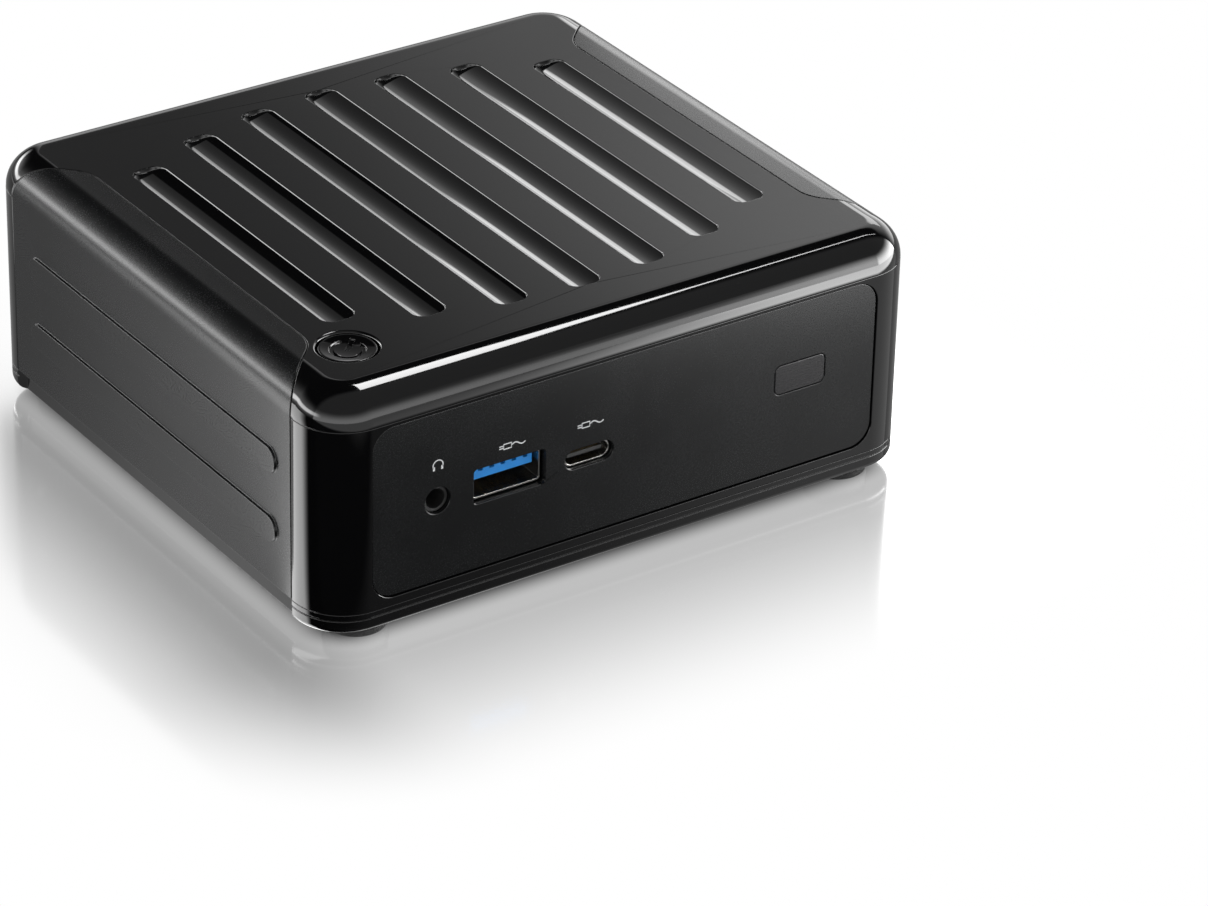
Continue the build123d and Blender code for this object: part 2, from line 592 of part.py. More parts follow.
def ssd_card():
    """A slim storage card with three packages, plugged into its socket."""
    card = block((-40.6, 39.4), (27.8, 48.8), (16.6, 17.4))
    for x in (-24.0, -6.0, 14.0):
        card += block((x - 6.5, x + 6.5), (31.0, 45.6), (15.6, 16.6))
    return card - rod(STORAGE_SCREW_X, STORAGE_SCREW_Y, (16, 18), CARD_NOTCH_R)


def wireless_socket():
    x, y = RADIO_X, RADIO_Y
    body = block((x - 11, x + 11), (y + 27.8, y + 31.6), (BOARD_TOP, 23.2))
    return body - block((x - 10.9, x + 10.9), (y + 27.8, y + 29.8), (21.4, 22.2))


def wireless_card():
    x, y = RADIO_X, RADIO_Y
    card = block((x - 10.8, x + 10.8), (y, y + 29.7), (21.4, 22.2))
    card += block((x - 7.5, x + 7.5), (y + 6.5, y + 22.5), (22.2, 23.7))
    return card - rod(x, y, (21, 23), CARD_NOTCH_R)


def card_screws():
    """One screw and its standoff for each plug-in card."""
    storage = screw(STORAGE_SCREW_X, STORAGE_SCREW_Y, 16.6, 0.8, 1.0, 1.2, STANDOFF_R, down=False)
    storage += rod(STORAGE_SCREW_X, STORAGE_SCREW_Y, (17.4, BOARD_Z), STANDOFF_R)
    radio = screw(RADIO_X, RADIO_Y, 22.2, 0.8, 1.0, 1.2, STANDOFF_R)
    radio += rod(RADIO_X, RADIO_Y, (BOARD_TOP, 21.4), STANDOFF_R)
    return group([storage, radio])


def antennas():
    """Two flat antenna strips stuck inside the side walls."""
    strip = block((54.0, 55.3), (-30, 12), (22.0, 29.0))
    return group([strip, mirror(strip, Plane.YZ)])


def storage_drive():
    """A slim drive of the standard 69.85 x 100 x 7 mm size."""
    body = block((-34.925, 34.925), (-50.2, 49.8), (5.0, 12.0))
    body = fillet(body.edges().filter_by(Axis.Z), 2.0)
    body -= block((-24.0, 20.0), (44.0, 51.0), (6.0, 9.4))
    for side in (-1, 1):
        for y in DRIVE_SCREW_Y:
            body -= rod_along_x(y, DRIVE_SCREW_Z, sorted((side * 30.0, side * 36.0)), 1.3)
    return body


def drive_bracket():
    """A folded sheet cradle with a flange down each side of the drive."""
    sheet = block((-36.0, 36.0), (-44.0, 44.0), (SHEET_BOTTOM_Z, 4.9))
    sheet -= block((-24.0, 24.0), (-36.0, 36.0), (4, 5))
    for side in (-1, 1):
        wall = block(sorted((side * 35.1, side * 36.0)), (-44.0, 44.0), (SHEET_BOTTOM_Z, 11.6))
        for y in DRIVE_SCREW_Y:
            wall -= rod_along_x(y, DRIVE_SCREW_Z, sorted((side * 34.0, side * 37.0)), 1.6)
        sheet += wall
    return sheet


def drive_screws():
    """Four side screws into the drive."""
    screws = []
    for side in (-1, 1):
        for y in DRIVE_SCREW_Y:
            pin = rod_along_x(y, DRIVE_SCREW_Z, sorted((side * 31.5, side * 36.0)), 1.2)
            pin += rod_along_x(y, DRIVE_SCREW_Z, sorted((side * 36.0, side * 37.2)), 2.6)
            screws.append(pin)
    return group(screws)


def drive_connector():
    """The plug that joins the drive to its socket on the mainboard."""
    return block((-22.0, 18.0), (44.2, 49.6), (6.2, 9.2))


def coin_cell():
    return rod(CELL_X, CELL_Y, (BOARD_TOP + 0.2, BOARD_TOP + 3.4), CELL_R)


def coin_cell_holder():
    ring = rod(CELL_X, CELL_Y, (BOARD_TOP, BOARD_TOP + 2.6), CELL_R + 1.4)
    return ring - rod(CELL_X, CELL_Y, (BOARD_TOP + 0.2, BOARD_TOP + 4), CELL_R + 0.1)


# ---------- rear ----------

def exhaust_slots():
    slots = []
    for i in range(EXHAUST_COUNT):
        x = FIN_X[0] + 3.0 + i * EXHAUST_PITCH
        slots.append(plate_along_y(2.2, 6.4, 1.05, x, EXHAUST_Z, (50, 60)))
    return slots


def rear_plate():
    """A stamped plate with the socket holes, the exhaust grille and a lock slot."""
    height, middle = REAR_Z[1] - REAR_Z[0], sum(REAR_Z) / 2
    plate = plate_along_y(2 * REAR_X, height, REAR_R, 0, middle, (REAR_Y, REAR_Y + REAR_T))
    through = (REAR_Y - 1, REAR_Y + REAR_T + 1)
    plate -= plate_along_y(16.4, 13.9, 0.4, LAN_X, 26.75, through)
    plate -= plate_along_y(14.9, 16.3, 0.6, USB_STACK_X, 28.0, through)
    plate -= plate_along_y(15.4, 6.1, 0.8, VIDEO_X, VIDEO_Z + 0.05, through)
    plate -= plate_along_y(17.3, 6.1, 0.8, DISPLAY_X, VIDEO_Z + 0.05, through)
    plate -= rod_along_y(INLET_X, INLET_Z, through, 4.1)
    plate -= plate_along_y(7.0, 3.2, 0.6, LOCK_X, LOCK_Z, through)
    for slot in exhaust_slots():
        plate -= slot
    return plate


def lan_socket():
    """A shielded network socket: its plug needs 11.7 x 8 mm."""
    body = block((LAN_X - 8, LAN_X + 8), (33.4, 54.4), (BOARD_TOP, 33.5))
    body -= block((LAN_X - 5.9, LAN_X + 5.9), (40.0, 55.0), (21.9, 30.1))
    return body - block((LAN_X - 3.0, LAN_X + 3.0), (40.0, 55.0), (30.0, 32.2))


def rear_usb_shell():
    """Two sockets, one above the other, in one shield."""
    sleeve = plate_along_y(14.5, 15.9, 0.6, USB_STACK_X, 27.97, (37.4, 54.6))
    for z in USB_STACK_Z:
        sleeve -= plate_along_y(12.6, 5.3, 0.35, USB_STACK_X, z, (38.0, 55))
    return sleeve


def rear_usb_tongues():
    tongues = []
    for z in USB_STACK_Z:
        tongue = block((USB_STACK_X - 5.6, USB_STACK_X + 5.6), (41.0, 53.4), (z + 0.1, z + 2.0))
        carrier = plate_along_y(12.5, 5.2, 0.35, USB_STACK_X, z, (38.1, 41.0))
        tongues.append(tongue + carrier)
    return group(tongues)


def lined_socket(outline, x, tongue_half):
    """A thin metal sleeve of the given outline, closed at the back, round a flat tongue."""
    sleeve = stand_along_y(outline, x, VIDEO_Z, (42.0, 54.4))
    sleeve -= stand_along_y(offset(outline, -0.35), x, VIDEO_Z, (43.0, 55.0))
    return sleeve + block((x - tongue_half, x + tongue_half), (42.6, 53.2), (VIDEO_Z - 0.5, VIDEO_Z + 0.5))


def video_socket():
    """A socket with a stepped outline, wider at the top than at the bottom."""
    points = ((-7.0, 2.55), (7.0, 2.55), (7.0, -0.6), (5.2, -2.55), (-5.2, -2.55), (-7.0, -0.6))
    return lined_socket(Plane.XZ * Polygon(*points, align=None), VIDEO_X, 5.2)


def display_socket():
    """A socket with one bevelled corner."""
    points = ((-8.1, 2.6), (8.1, 2.6), (8.1, -1.0), (6.5, -2.6), (-8.1, -2.6))
    return lined_socket(Plane.XZ * Polygon(*points, align=None), DISPLAY_X, 6.4)


def power_inlet():
    """A barrel socket for the power supply's plug, round its centre pin."""
    body = block((INLET_X - 4.5, INLET_X + 4.5), (40.6, 53.4), (BOARD_TOP, 29.4))
    body += rod_along_y(INLET_X, INLET_Z, (53.4, 54.4), 4.0)
    body -= rod_along_y(INLET_X, INLET_Z, (43.4, 55.0), 3.2)
    return body + rod_along_y(INLET_X, INLET_Z, (43.0, 53.6), 1.0)


# ---------- the list of pieces ----------

FEET = {"front_left": (-1, -1), "front_right": (1, -1), "rear_left": (-1, 1), "rear_right": (1, 1)}


def front_usb_a_tongue():
    return usb_a_tongue(USB_A_X, USB_A_Z, (-52.6, -42.0), (-42.0, FRONT_USB_Y[1]))


def pieces():
    right = side_panel_right()
    made = {
        "top_cover": top_cover(),
        "side_panel_right": right,
        "side_panel_left": mirror(right, Plane.YZ),
        "mid_frame": mid_frame(),
        "front_panel": front_panel(),
        "ir_window": ir_window(),
        "bottom_cover": bottom_cover(),
        "bottom_cover_screws": bottom_cover_screws(),
        "power_button": power_button(),
        "power_switch_board": power_switch_board(),
        "power_switch_body": power_switch_body(),
        "power_switch_plunger": power_switch_plunger(),
        "switch_board_screws": switch_board_screws(),
        "headset_jack": headset_jack(),
        "headset_contact": headset_contact(),
        "front_usb_a_shell": usb_a_shell(USB_A_X, USB_A_Z, FRONT_USB_Y),
        "front_usb_a_tongue": front_usb_a_tongue(),
        "front_usb_a_contacts": group(usb_a_contacts(USB_A_X, USB_A_Z, (-52.6, -42.0))),
        "front_usb_c_shell": usb_c_shell(),
        "front_usb_c_tongue": usb_c_tongue(),
        "ir_receiver": ir_receiver(),
        "mainboard": mainboard(),
        "mainboard_screws": mainboard_screws(),
        "processor_package": processor_package(),
        "cold_plate": cold_plate(),
        "heatsink_screws": heatsink_screws(),
        "heatsink_springs": heatsink_springs(),
        "heat_pipe": heat_pipe(),
        "fin_stack": fin_stack(),
        "fan_housing": fan_housing(),
        "fan_cover": fan_cover(),
        "fan_bearing": fan_bearing(),
        "fan_stator": fan_stator(),
        "fan_impeller": fan_impeller(),
        "fan_shaft": fan_shaft(),
        "ssd_socket": ssd_socket(),
        "ssd_card": ssd_card(),
        "wireless_socket": wireless_socket(),
        "wireless_card": wireless_card(),
        "card_screws": card_screws(),
        "antennas": antennas(),
        "memory_sockets": memory_sockets(),
        "memory_modules": memory_modules(),
        "storage_drive": storage_drive(),
        "drive_bracket": drive_bracket(),
        "drive_screws": drive_screws(),
        "drive_connector": drive_connector(),
        "coin_cell": coin_cell(),
        "coin_cell_holder": coin_cell_holder(),
        "rear_plate": rear_plate(),
        "lan_socket": lan_socket(),
        "rear_usb_shell": rear_usb_shell(),
        "rear_usb_tongues": rear_usb_tongues(),
        "video_socket": video_socket(),
        "display_socket": display_socket(),
        "power_inlet": power_inlet(),
    }
    for name, (sx, sy) in FEET.items():
        made["foot_" + name] = foot(sx * FOOT_X, sy * FOOT_Y)
    return made


for node, shape in pieces().items():
    export_step(shape, "parts/" + node + ".step")
print("all pieces written")
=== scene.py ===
"""The looks of a palm-sized desktop computer: its mouldings, sockets, cooling and boards, and a small studio.

Laid out as an add-on and run as a script. Everything is in metres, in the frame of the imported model.
"""
import json
import math

import bmesh
import bpy
from mathutils import Matrix, Vector


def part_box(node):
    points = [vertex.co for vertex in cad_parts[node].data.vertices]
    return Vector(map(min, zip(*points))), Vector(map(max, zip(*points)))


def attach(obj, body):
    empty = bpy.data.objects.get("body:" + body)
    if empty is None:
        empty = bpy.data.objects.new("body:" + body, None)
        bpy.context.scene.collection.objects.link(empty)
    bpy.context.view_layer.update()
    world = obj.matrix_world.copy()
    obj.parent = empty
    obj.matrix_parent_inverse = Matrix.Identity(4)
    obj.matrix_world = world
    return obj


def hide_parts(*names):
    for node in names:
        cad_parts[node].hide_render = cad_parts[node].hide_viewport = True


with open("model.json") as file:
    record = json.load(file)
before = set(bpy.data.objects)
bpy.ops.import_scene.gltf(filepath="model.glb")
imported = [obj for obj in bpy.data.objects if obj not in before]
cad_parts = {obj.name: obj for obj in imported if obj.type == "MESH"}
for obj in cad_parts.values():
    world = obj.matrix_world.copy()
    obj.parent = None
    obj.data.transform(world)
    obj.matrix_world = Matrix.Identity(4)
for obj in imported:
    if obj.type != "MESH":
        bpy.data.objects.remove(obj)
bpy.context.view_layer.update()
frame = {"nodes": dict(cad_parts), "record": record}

bl_info = {
    "name": "Desktop computer looks",
    "version": (1, 0, 0),
    "blender": (4, 5, 0),
    "location": "3D View > Sidebar > Computer",
    "description": "Builds the finished pieces of a palm-sized desktop computer and its studio",
    "category": "Object",
}

MM = 0.001


# ---------- places read from the frame ----------

def middle(node):
    low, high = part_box(node)
    return (low + high) / 2


ENCLOSURE, BUTTON_CAP, ROTOR = "enclosure", "power_button_cap", "fan_rotor"
TOP_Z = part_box("top_cover")[1].z
FRONT_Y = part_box("mid_frame")[0].y
HALF_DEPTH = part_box("mid_frame")[1].y
HALF_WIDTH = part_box("bottom_cover")[1].x
FACE_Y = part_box("front_panel")[0].y
CORNER_R, TOP_R = 9.3 * MM, 6.3 * MM


# ---------- settings ----------

def length_setting(name, description, millimetres):
    return bpy.props.FloatProperty(
        name=name, description=description, default=millimetres * MM, unit="LENGTH")


def turn_setting(name, description, degrees):
    return bpy.props.FloatProperty(
        name=name, description=description, default=math.radians(degrees), unit="ROTATION")


def colour_setting(name, description, rgb):
    return bpy.props.FloatVectorProperty(
        name=name, description=description, default=rgb, subtype="COLOR")


class EnclosureSettings(bpy.types.PropertyGroup):
    edge: length_setting("Edge rounding", "Width of the rounding on every moulded edge", 0.13)
    trough_count: bpy.props.IntProperty(
        name="Troughs", description="How many troughs run across the top", default=7)
    trough_pitch: length_setting("Trough pitch", "Distance from one trough to the next", 13.5)
    trough_width: length_setting("Trough width", "Width of a trough at the surface", 6)
    trough_depth: length_setting("Trough depth", "Depth along the middle of a trough", 0.8)
    trough_wall: length_setting("Trough wall", "Height of the steep wall round a trough", 0.2)
    trough_reach: length_setting("Trough reach", "Half the length of the middle trough", 42.4)
    trough_arc: length_setting("Trough arc", "Radius of the arcs that the trough ends lie on", 82)
    gloss_colour: colour_setting(
        "Gloss colour", "Colour of the polished mouldings", (0.0016, 0.0016, 0.0018))
    satin_colour: colour_setting("Satin colour", "Colour of the satin panels", (0.0036, 0.0039, 0.0042))


class FrontSettings(bpy.types.PropertyGroup):
    print_colour: colour_setting("Print colour", "Colour of the small printed marks", (0.62, 0.63, 0.64))
    tongue_colour: colour_setting(
        "Tongue colour", "Colour of the insulator in the wide socket", (0.006, 0.21, 0.60))


class StageSettings(bpy.types.PropertyGroup):
    azimuth: turn_setting("Azimuth", "Camera angle round the object, from the front", -34.893)
    elevation: turn_setting("Elevation", "Camera angle above the table", 29.239)
    roll: turn_setting("Roll", "Camera turn about its own line of sight", 1.452)
    distance: length_setting("Distance", "Camera distance from the middle of the object", 918.8)
    lens: bpy.props.FloatProperty(
        name="Lens", description="Focal length", default=160.49, unit="CAMERA")
    aim: bpy.props.FloatVectorProperty(
        name="Aim", description="Camera offset right and up from its line to the object",
        size=2, default=(26.772 * MM, -21.296 * MM), unit="LENGTH")


# ---------- shader and geometry nodes ----------

class Socket:
    """One output of a node. Sums written with it add Math nodes to its tree."""

    def __init__(self, maker, socket):
        self.maker, self.socket = maker, socket

    def _sum(self, operation, *values):
        return self.maker.add("ShaderNodeMath", {"operation": operation}, dict(enumerate(values)))

    def __add__(self, other):
        return self._sum("ADD", self, other)

    def __radd__(self, other):
        return self._sum("ADD", other, self)

    def __sub__(self, other):
        return self._sum("SUBTRACT", self, other)

    def __rsub__(self, other):
        return self._sum("SUBTRACT", other, self)

    def __mul__(self, other):
        return self._sum("MULTIPLY", self, other)

    def __rmul__(self, other):
        return self._sum("MULTIPLY", other, self)

    def __truediv__(self, other):
        return self._sum("DIVIDE", self, other)

    def __gt__(self, other):
        return self._sum("GREATER_THAN", self, other)

    def __lt__(self, other):
        return self._sum("LESS_THAN", self, other)

    def maximum(self, other):
        return self._sum("MAXIMUM", self, other)

    def absolute(self):
        return self._sum("ABSOLUTE", self)

    def root(self):
        return self._sum("SQRT", self)


class NodeMaker:
    """Adds nodes to one tree."""

    def __init__(self, tree):
        self.tree = tree

    def add(self, kind, settings=None, values=None, output=0):
        """A node of this kind: its settings first, then the values or links of its sockets."""
        node = self.tree.nodes.new(kind)
        for name, value in (settings or {}).items():
            setattr(node, name, value)
        for name, value in (values or {}).items():
            if isinstance(value, Socket):
                self.tree.links.new(value.socket, node.inputs[name])
            else:
                node.inputs[name].default_value = value
        return Socket(self, node.outputs[output]) if len(node.outputs) else node

    def mix(self, factor, first, second):
        settings = {"data_type": "RGBA"}
        return self.add("ShaderNodeMix", settings, {0: factor, 6: first, 7: second}, output=2)

    def between(self, value, low, high, to_low=0.0, to_high=1.0):
        """The value, remapped and clamped with a soft start and end."""
        return self.add("ShaderNodeMapRange", {"interpolation_type": "SMOOTHSTEP"},
                        {0: value, 1: low, 2: high, 3: to_low, 4: to_high})

    def place(self):
        """Object coordinates."""
        return self.add("ShaderNodeTexCoord", output="Object")

    def stretched(self, scale):
        """Object coordinates, scaled along each axis."""
        return self.add("ShaderNodeVectorMath", {"operation": "MULTIPLY"}, {0: self.place(), 1: scale})

    def noise(self, grain, detail=2.0, place=None):
        """Noise whose features are about grain metres across."""
        return self.add("ShaderNodeTexNoise", None,
                        {"Vector": place or self.place(), "Scale": 1 / grain, "Detail": detail})

    def cells(self, grain):
        """Distance to the nearest of many points, about grain metres apart."""
        return self.add("ShaderNodeTexVoronoi", None, {"Vector": self.place(), "Scale": 1 / grain})

    def bump(self, height, depth, strength=1.0):
        return self.add("ShaderNodeBump", None,
                        {"Strength": strength, "Distance": depth, "Height": height})

    def surface(self, **sockets):
        """A Principled surface as the material's output."""
        values = {name.replace("_", " "): value for name, value in sockets.items()}
        shader = self.add("ShaderNodeBsdfPrincipled", None, values)
        self.add("ShaderNodeOutputMaterial", None, {"Surface": shader})


def axis_of(make, index, place=None):
    """One coordinate of a place: 0, 1 or 2 for X, Y or Z."""
    return make.add("ShaderNodeSeparateXYZ", None, {0: place or make.place()}, output=index)


def grey(level):
    return (level, level, level, 1.0)


def colour(rgb):
    return (*rgb[:3], 1.0)


def new_material(name):
    """A new material's node maker; finish_of gives the material itself."""
    material = bpy.data.materials.get(name) or bpy.data.materials.new(name)
    material.use_nodes = True
    material.node_tree.nodes.clear()
    return NodeMaker(material.node_tree)


def gloss_black():
    """Polished moulding: hair-fine wiping marks, faint flow ripples and a few specks of dust."""
    make = new_material("gloss_black_shell")
    wiped = make.noise(0.35 * MM, 3, make.stretched((1, 0.06, 1)))
    marks = make.between(wiped, 0.58, 0.72)
    dust = make.between(make.cells(1.9 * MM), 0.035, 0.02)
    ripple = make.noise(7 * MM, 1)
    base = colour(bpy.context.scene.computer_enclosure.gloss_colour)
    make.surface(
        Base_Color=make.mix(dust * 0.25, base, grey(0.05)),
        Roughness=0.06 + marks * 0.03 + dust * 0.2,
        IOR=1.5,
        Normal=make.bump(ripple, 0.004 * MM, 0.6))


def satin_black():
    """Fine eroded texture, a little smoother where hands have rubbed it, with slow tone changes."""
    make = new_material("satin_black_panel")
    grain = make.noise(0.22 * MM, 3)
    pits = make.cells(0.34 * MM)
    worn = make.noise(14 * MM, 2)
    base = bpy.context.scene.computer_enclosure.satin_colour
    dark, light = colour([c * 0.82 for c in base]), colour([c * 1.2 for c in base])
    make.surface(
        Base_Color=make.mix(make.between(worn, 0.35, 0.65), dark, light),
        Roughness=0.2 + worn * 0.05 + grain * 0.08,
        IOR=1.42,
        Normal=make.bump(grain * 0.6 + pits * 0.4, 0.0035 * MM))


def smoked_window():
    """Infrared-clear plastic: satin, with faint drag lines along its length."""
    make = new_material("smoked_window")
    lines = make.noise(0.12 * MM, 2, make.stretched((0.05, 1, 1)))
    cloud = make.noise(3 * MM, 2)
    make.surface(
        Base_Color=make.mix(cloud, (0.006, 0.006, 0.007, 1), (0.010, 0.009, 0.010, 1)),
        Roughness=0.24 + lines * 0.06,
        IOR=1.5,
        Normal=make.bump(lines, 0.003 * MM))


def rubber():
    """Soft black rubber: powdery bloom in the pores and a matt skin."""
    make = new_material("black_rubber")
    pores = make.cells(0.28 * MM)
    bloom = make.noise(1.6 * MM, 4)
    make.surface(
        Base_Color=make.mix(make.between(bloom, 0.45, 0.75), grey(0.010), grey(0.030)),
        Roughness=0.62 + bloom * 0.2,
        IOR=1.45,
        Normal=make.bump(pores + bloom, 0.02 * MM))


def moulded_plastic(name, dark, light, roughness=0.42, painted_shade_y=None):
    """Connector plastic: glass-filled speckle and flow marks; when a depth is given, painted shade fades it
    to black from that depth inwards, deep inside the socket.
    """
    make = new_material(name)
    speckle = make.noise(0.09 * MM, 2)
    flow = make.noise(2.2 * MM, 3, make.stretched((1, 0.3, 1)))
    tone = make.mix(flow, colour(dark), colour(light))
    if painted_shade_y:
        # painted shade: the insulator is darkened to black deeper inside the socket, where shade falls
        inwards = axis_of(make, 1).absolute()
        tone = make.mix(make.between(inwards, painted_shade_y + 1.5 * MM, painted_shade_y), tone, grey(0.003))
    make.surface(
        Base_Color=tone,
        Roughness=roughness + speckle * 0.16,
        IOR=1.5,
        Normal=make.bump(speckle + flow * 0.6, 0.004 * MM))


def plated_metal(name, dark, light, roughness=0.24, brush=(1, 0.08, 1)):
    """Plated or bare metal: brushing, cloudy tarnish and tiny pits."""
    make = new_material(name)
    brushed = make.noise(0.14 * MM, 3, make.stretched(brush))
    tarnish = make.noise(3.5 * MM, 4)
    pits = make.between(make.cells(0.6 * MM), 0.08, 0.03)
    make.surface(
        Base_Color=make.mix(make.between(tarnish, 0.3, 0.7), colour(dark), colour(light)),
        Metallic=1 - pits * 0.3,
        Roughness=roughness + brushed * 0.14 + pits * 0.2,
        Normal=make.bump(brushed - pits * 0.5, 0.003 * MM))


def painted_steel():
    """Powder coat with orange peel and a dry sparkle."""
    make = new_material("black_steel_plate")
    peel = make.noise(0.5 * MM, 2)
    speck = make.between(make.cells(0.45 * MM), 0.12, 0.04)
    make.surface(
        Base_Color=make.mix(speck, grey(0.014), grey(0.035)),
        Roughness=0.42 + peel * 0.18,
        IOR=1.5,
        Normal=make.bump(peel, 0.014 * MM))


def circuit_board():
    """Black solder mask over copper tracks, with plated through holes."""
    make = new_material("circuit_board")
    tracks = make.add("ShaderNodeTexBrick", {"offset": 0.5, "squash": 1.0},
                      {"Vector": make.place(), "Scale": 260.0, "Mortar Size": 0.06, "Brick Width": 1.1,
                       "Row Height": 0.16}, output="Fac")
    pads = make.between(make.cells(2.4 * MM), 0.13, 0.1)
    mask = make.mix(tracks, (0.006, 0.009, 0.008, 1), (0.012, 0.020, 0.016, 1))
    make.surface(
        Base_Color=make.mix(pads, mask, (0.72, 0.55, 0.28, 1)),
        Metallic=pads,
        Roughness=0.34 + make.noise(0.4 * MM) * 0.14,
        Normal=make.bump(tracks * 0.6 + pads, 0.01 * MM))


def chip_package():
    """Green substrate with a bare silicon die: a mirror."""
    make = new_material("chip_package")
    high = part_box("processor_package")[1].z
    die = make.between(axis_of(make, 2), high - 0.8 * MM, high - 0.75 * MM)
    weave = make.noise(0.2 * MM, 2)
    substrate = make.mix(weave, (0.020, 0.055, 0.028, 1), (0.035, 0.085, 0.040, 1))
    make.surface(
        Base_Color=make.mix(die, substrate, (0.26, 0.27, 0.30, 1)),
        Metallic=die,
        Roughness=0.38 - die * 0.26 + weave * 0.04,
        Normal=make.bump(weave, 0.003 * MM))


def printed_mark():
    """Grey pad print, slightly broken up by the texture under it."""
    make = new_material("printed_mark")
    grain = make.noise(0.16 * MM, 2)
    ink = bpy.context.scene.computer_front.print_colour
    worn = colour([c * 0.55 for c in ink])
    make.surface(
        Base_Color=make.mix(make.between(grain, 0.36, 0.5), worn, colour(ink)),
        Roughness=0.45 + grain * 0.1,
        IOR=1.45,
        Normal=make.bump(grain, 0.004 * MM))


METALS = {   # dark tone, light tone, roughness
    "black_screw": ((0.03, 0.03, 0.032), (0.06, 0.06, 0.062), 0.3),
    "zinc_screw": ((0.48, 0.48, 0.47), (0.66, 0.66, 0.63), 0.26),
    "zinc_sheet": ((0.46, 0.46, 0.46), (0.62, 0.62, 0.61), 0.3),
    "nickel_shell": ((0.50, 0.49, 0.47), (0.64, 0.63, 0.61), 0.16),
    "gold_contact": ((0.78, 0.52, 0.2), (0.92, 0.68, 0.3), 0.18),
    "copper": ((0.52, 0.22, 0.13), (0.78, 0.40, 0.27), 0.28),
    "copper_strip": ((0.45, 0.22, 0.12), (0.62, 0.34, 0.2), 0.3),
    "aluminium_fin": ((0.62, 0.63, 0.64), (0.74, 0.75, 0.76), 0.28),
    "bearing_bronze": ((0.42, 0.26, 0.13), (0.6, 0.42, 0.24), 0.36),
    "drive_aluminium": ((0.46, 0.47, 0.48), (0.6, 0.61, 0.62), 0.38),
    "cell_steel": ((0.58, 0.58, 0.57), (0.72, 0.72, 0.70), 0.2),
}
SOCKET_SHADE_Y = 50.2 * MM   # painted shade: the blue insulator is painted black nearer the middle than this, deep inside the socket


def make_materials():
    """Every finish under the record's slot name, and the ink."""
    for make_finish in (gloss_black, satin_black, smoked_window, rubber, circuit_board, chip_package,
                        painted_steel, printed_mark):
        make_finish()
    for name, tones in METALS.items():
        plated_metal(name, *tones)
    blue = bpy.context.scene.computer_front.tongue_colour
    moulded_plastic("black_connector_plastic", grey(0.008), grey(0.016))
    moulded_plastic("fan_plastic", (0.012, 0.012, 0.013), (0.024, 0.024, 0.025), 0.5)
    moulded_plastic("blue_connector_plastic", [c * 0.8 for c in blue], [c * 1.15 for c in blue], 0.32,
                    SOCKET_SHADE_Y)


def finish_of(slot):
    return bpy.data.materials[slot]


def slot_of(node):
    """The material slot that the record gives a node."""
    for row in frame["record"]["subparts"]:
        if row["node"] == node:
            return row["material_slot"]
    raise RuntimeError("no slot for " + node)


# ---------- forms made by geometry nodes ----------

class FormTree:
    """A geometry node tree with named sizes, which ends in real meshes of one material."""

    def __init__(self, name, slot, sizes):
        self.tree = bpy.data.node_groups.new(name, "GeometryNodeTree")
        self.slot, self.sizes = slot, sizes
        face = self.tree.interface
        face.new_socket("Geometry", in_out="INPUT", socket_type="NodeSocketGeometry")
        face.new_socket("Geometry", in_out="OUTPUT", socket_type="NodeSocketGeometry")
        for key, value in sizes.items():
            kinds = {int: "NodeSocketInt", float: "NodeSocketFloat"}
            face.new_socket(key, in_out="INPUT", socket_type=kinds.get(type(value), "NodeSocketObject"))
        self.make = NodeMaker(self.tree)
        self.given = self.tree.nodes.new("NodeGroupInput")

    def __getitem__(self, key):
        return Socket(self.make, self.given.outputs[key])

    def vector(self, x=0.0, y=0.0, z=0.0):
        return self.make.add("ShaderNodeCombineXYZ", None, {0: x, 1: y, 2: z})

    def box(self, x, y, z, at=None):
        cube = self.make.add("GeometryNodeMeshCube", None, {"Size": self.vector(x, y, z)})
        if not at:
            return cube
        return self.make.add("GeometryNodeTransform", None, {"Geometry": cube, "Translation": at})

    def object_shape(self, key):
        """The mesh of the object given to the tree under this name."""
        return self.make.add("GeometryNodeObjectInfo", None, {"Object": self[key]}, output="Geometry")

    def join(self, *forms):
        node = self.tree.nodes.new("GeometryNodeJoinGeometry")
        for form in forms:
            self.tree.links.new(form.socket, node.inputs[0])
        return Socket(self.make, node.outputs[0])

    def repeat(self, points, form, **values):
        return self.make.add("GeometryNodeInstanceOnPoints", None,
                             {"Points": points, "Instance": form, **values})

    def result(self, form, points=()):
        """The finished mesh. points are the places handed to the tree as its own geometry."""
        real = self.make.add("GeometryNodeRealizeInstances", None, {0: form})
        coloured = self.make.add(
            "GeometryNodeSetMaterial", None, {"Geometry": real, "Material": finish_of(self.slot)})
        out = self.tree.nodes.new("NodeGroupOutput")
        self.tree.links.new(coloured.socket, out.inputs[0])
        mesh = bpy.data.meshes.new(self.tree.name)
        mesh.from_pydata([tuple(p) for p in points], [], [])
        stand = put(self.tree.name, mesh)
        modifier = stand.modifiers.new("form", "NODES")
        modifier.node_group = self.tree
        for item in self.tree.interface.items_tree:
            if item.in_out == "INPUT" and item.name in self.sizes:
                modifier[item.identifier] = self.sizes[item.name]
        made = evaluated(stand)
        bpy.data.objects.remove(stand)
        return made


def row_of_bars(name, slot, count, size, first, step):
    """Equal bars in a straight row. size, first and step are lengths along X, Y and Z."""
    form = FormTree(name, slot, {
        "Count": count, "Width": size[0], "Depth": size[1], "Height": size[2],
        "Step X": step[0], "Step Y": step[1], "Step Z": step[2]})
    offset = form.vector(form["Step X"], form["Step Y"], form["Step Z"])
    line = form.make.add("GeometryNodeMeshLine", None,
                         {"Count": form["Count"], "Start Location": tuple(first), "Offset": offset})
    bar = form.box(form["Width"], form["Depth"], form["Height"])
    return form.result(form.repeat(line, bar))


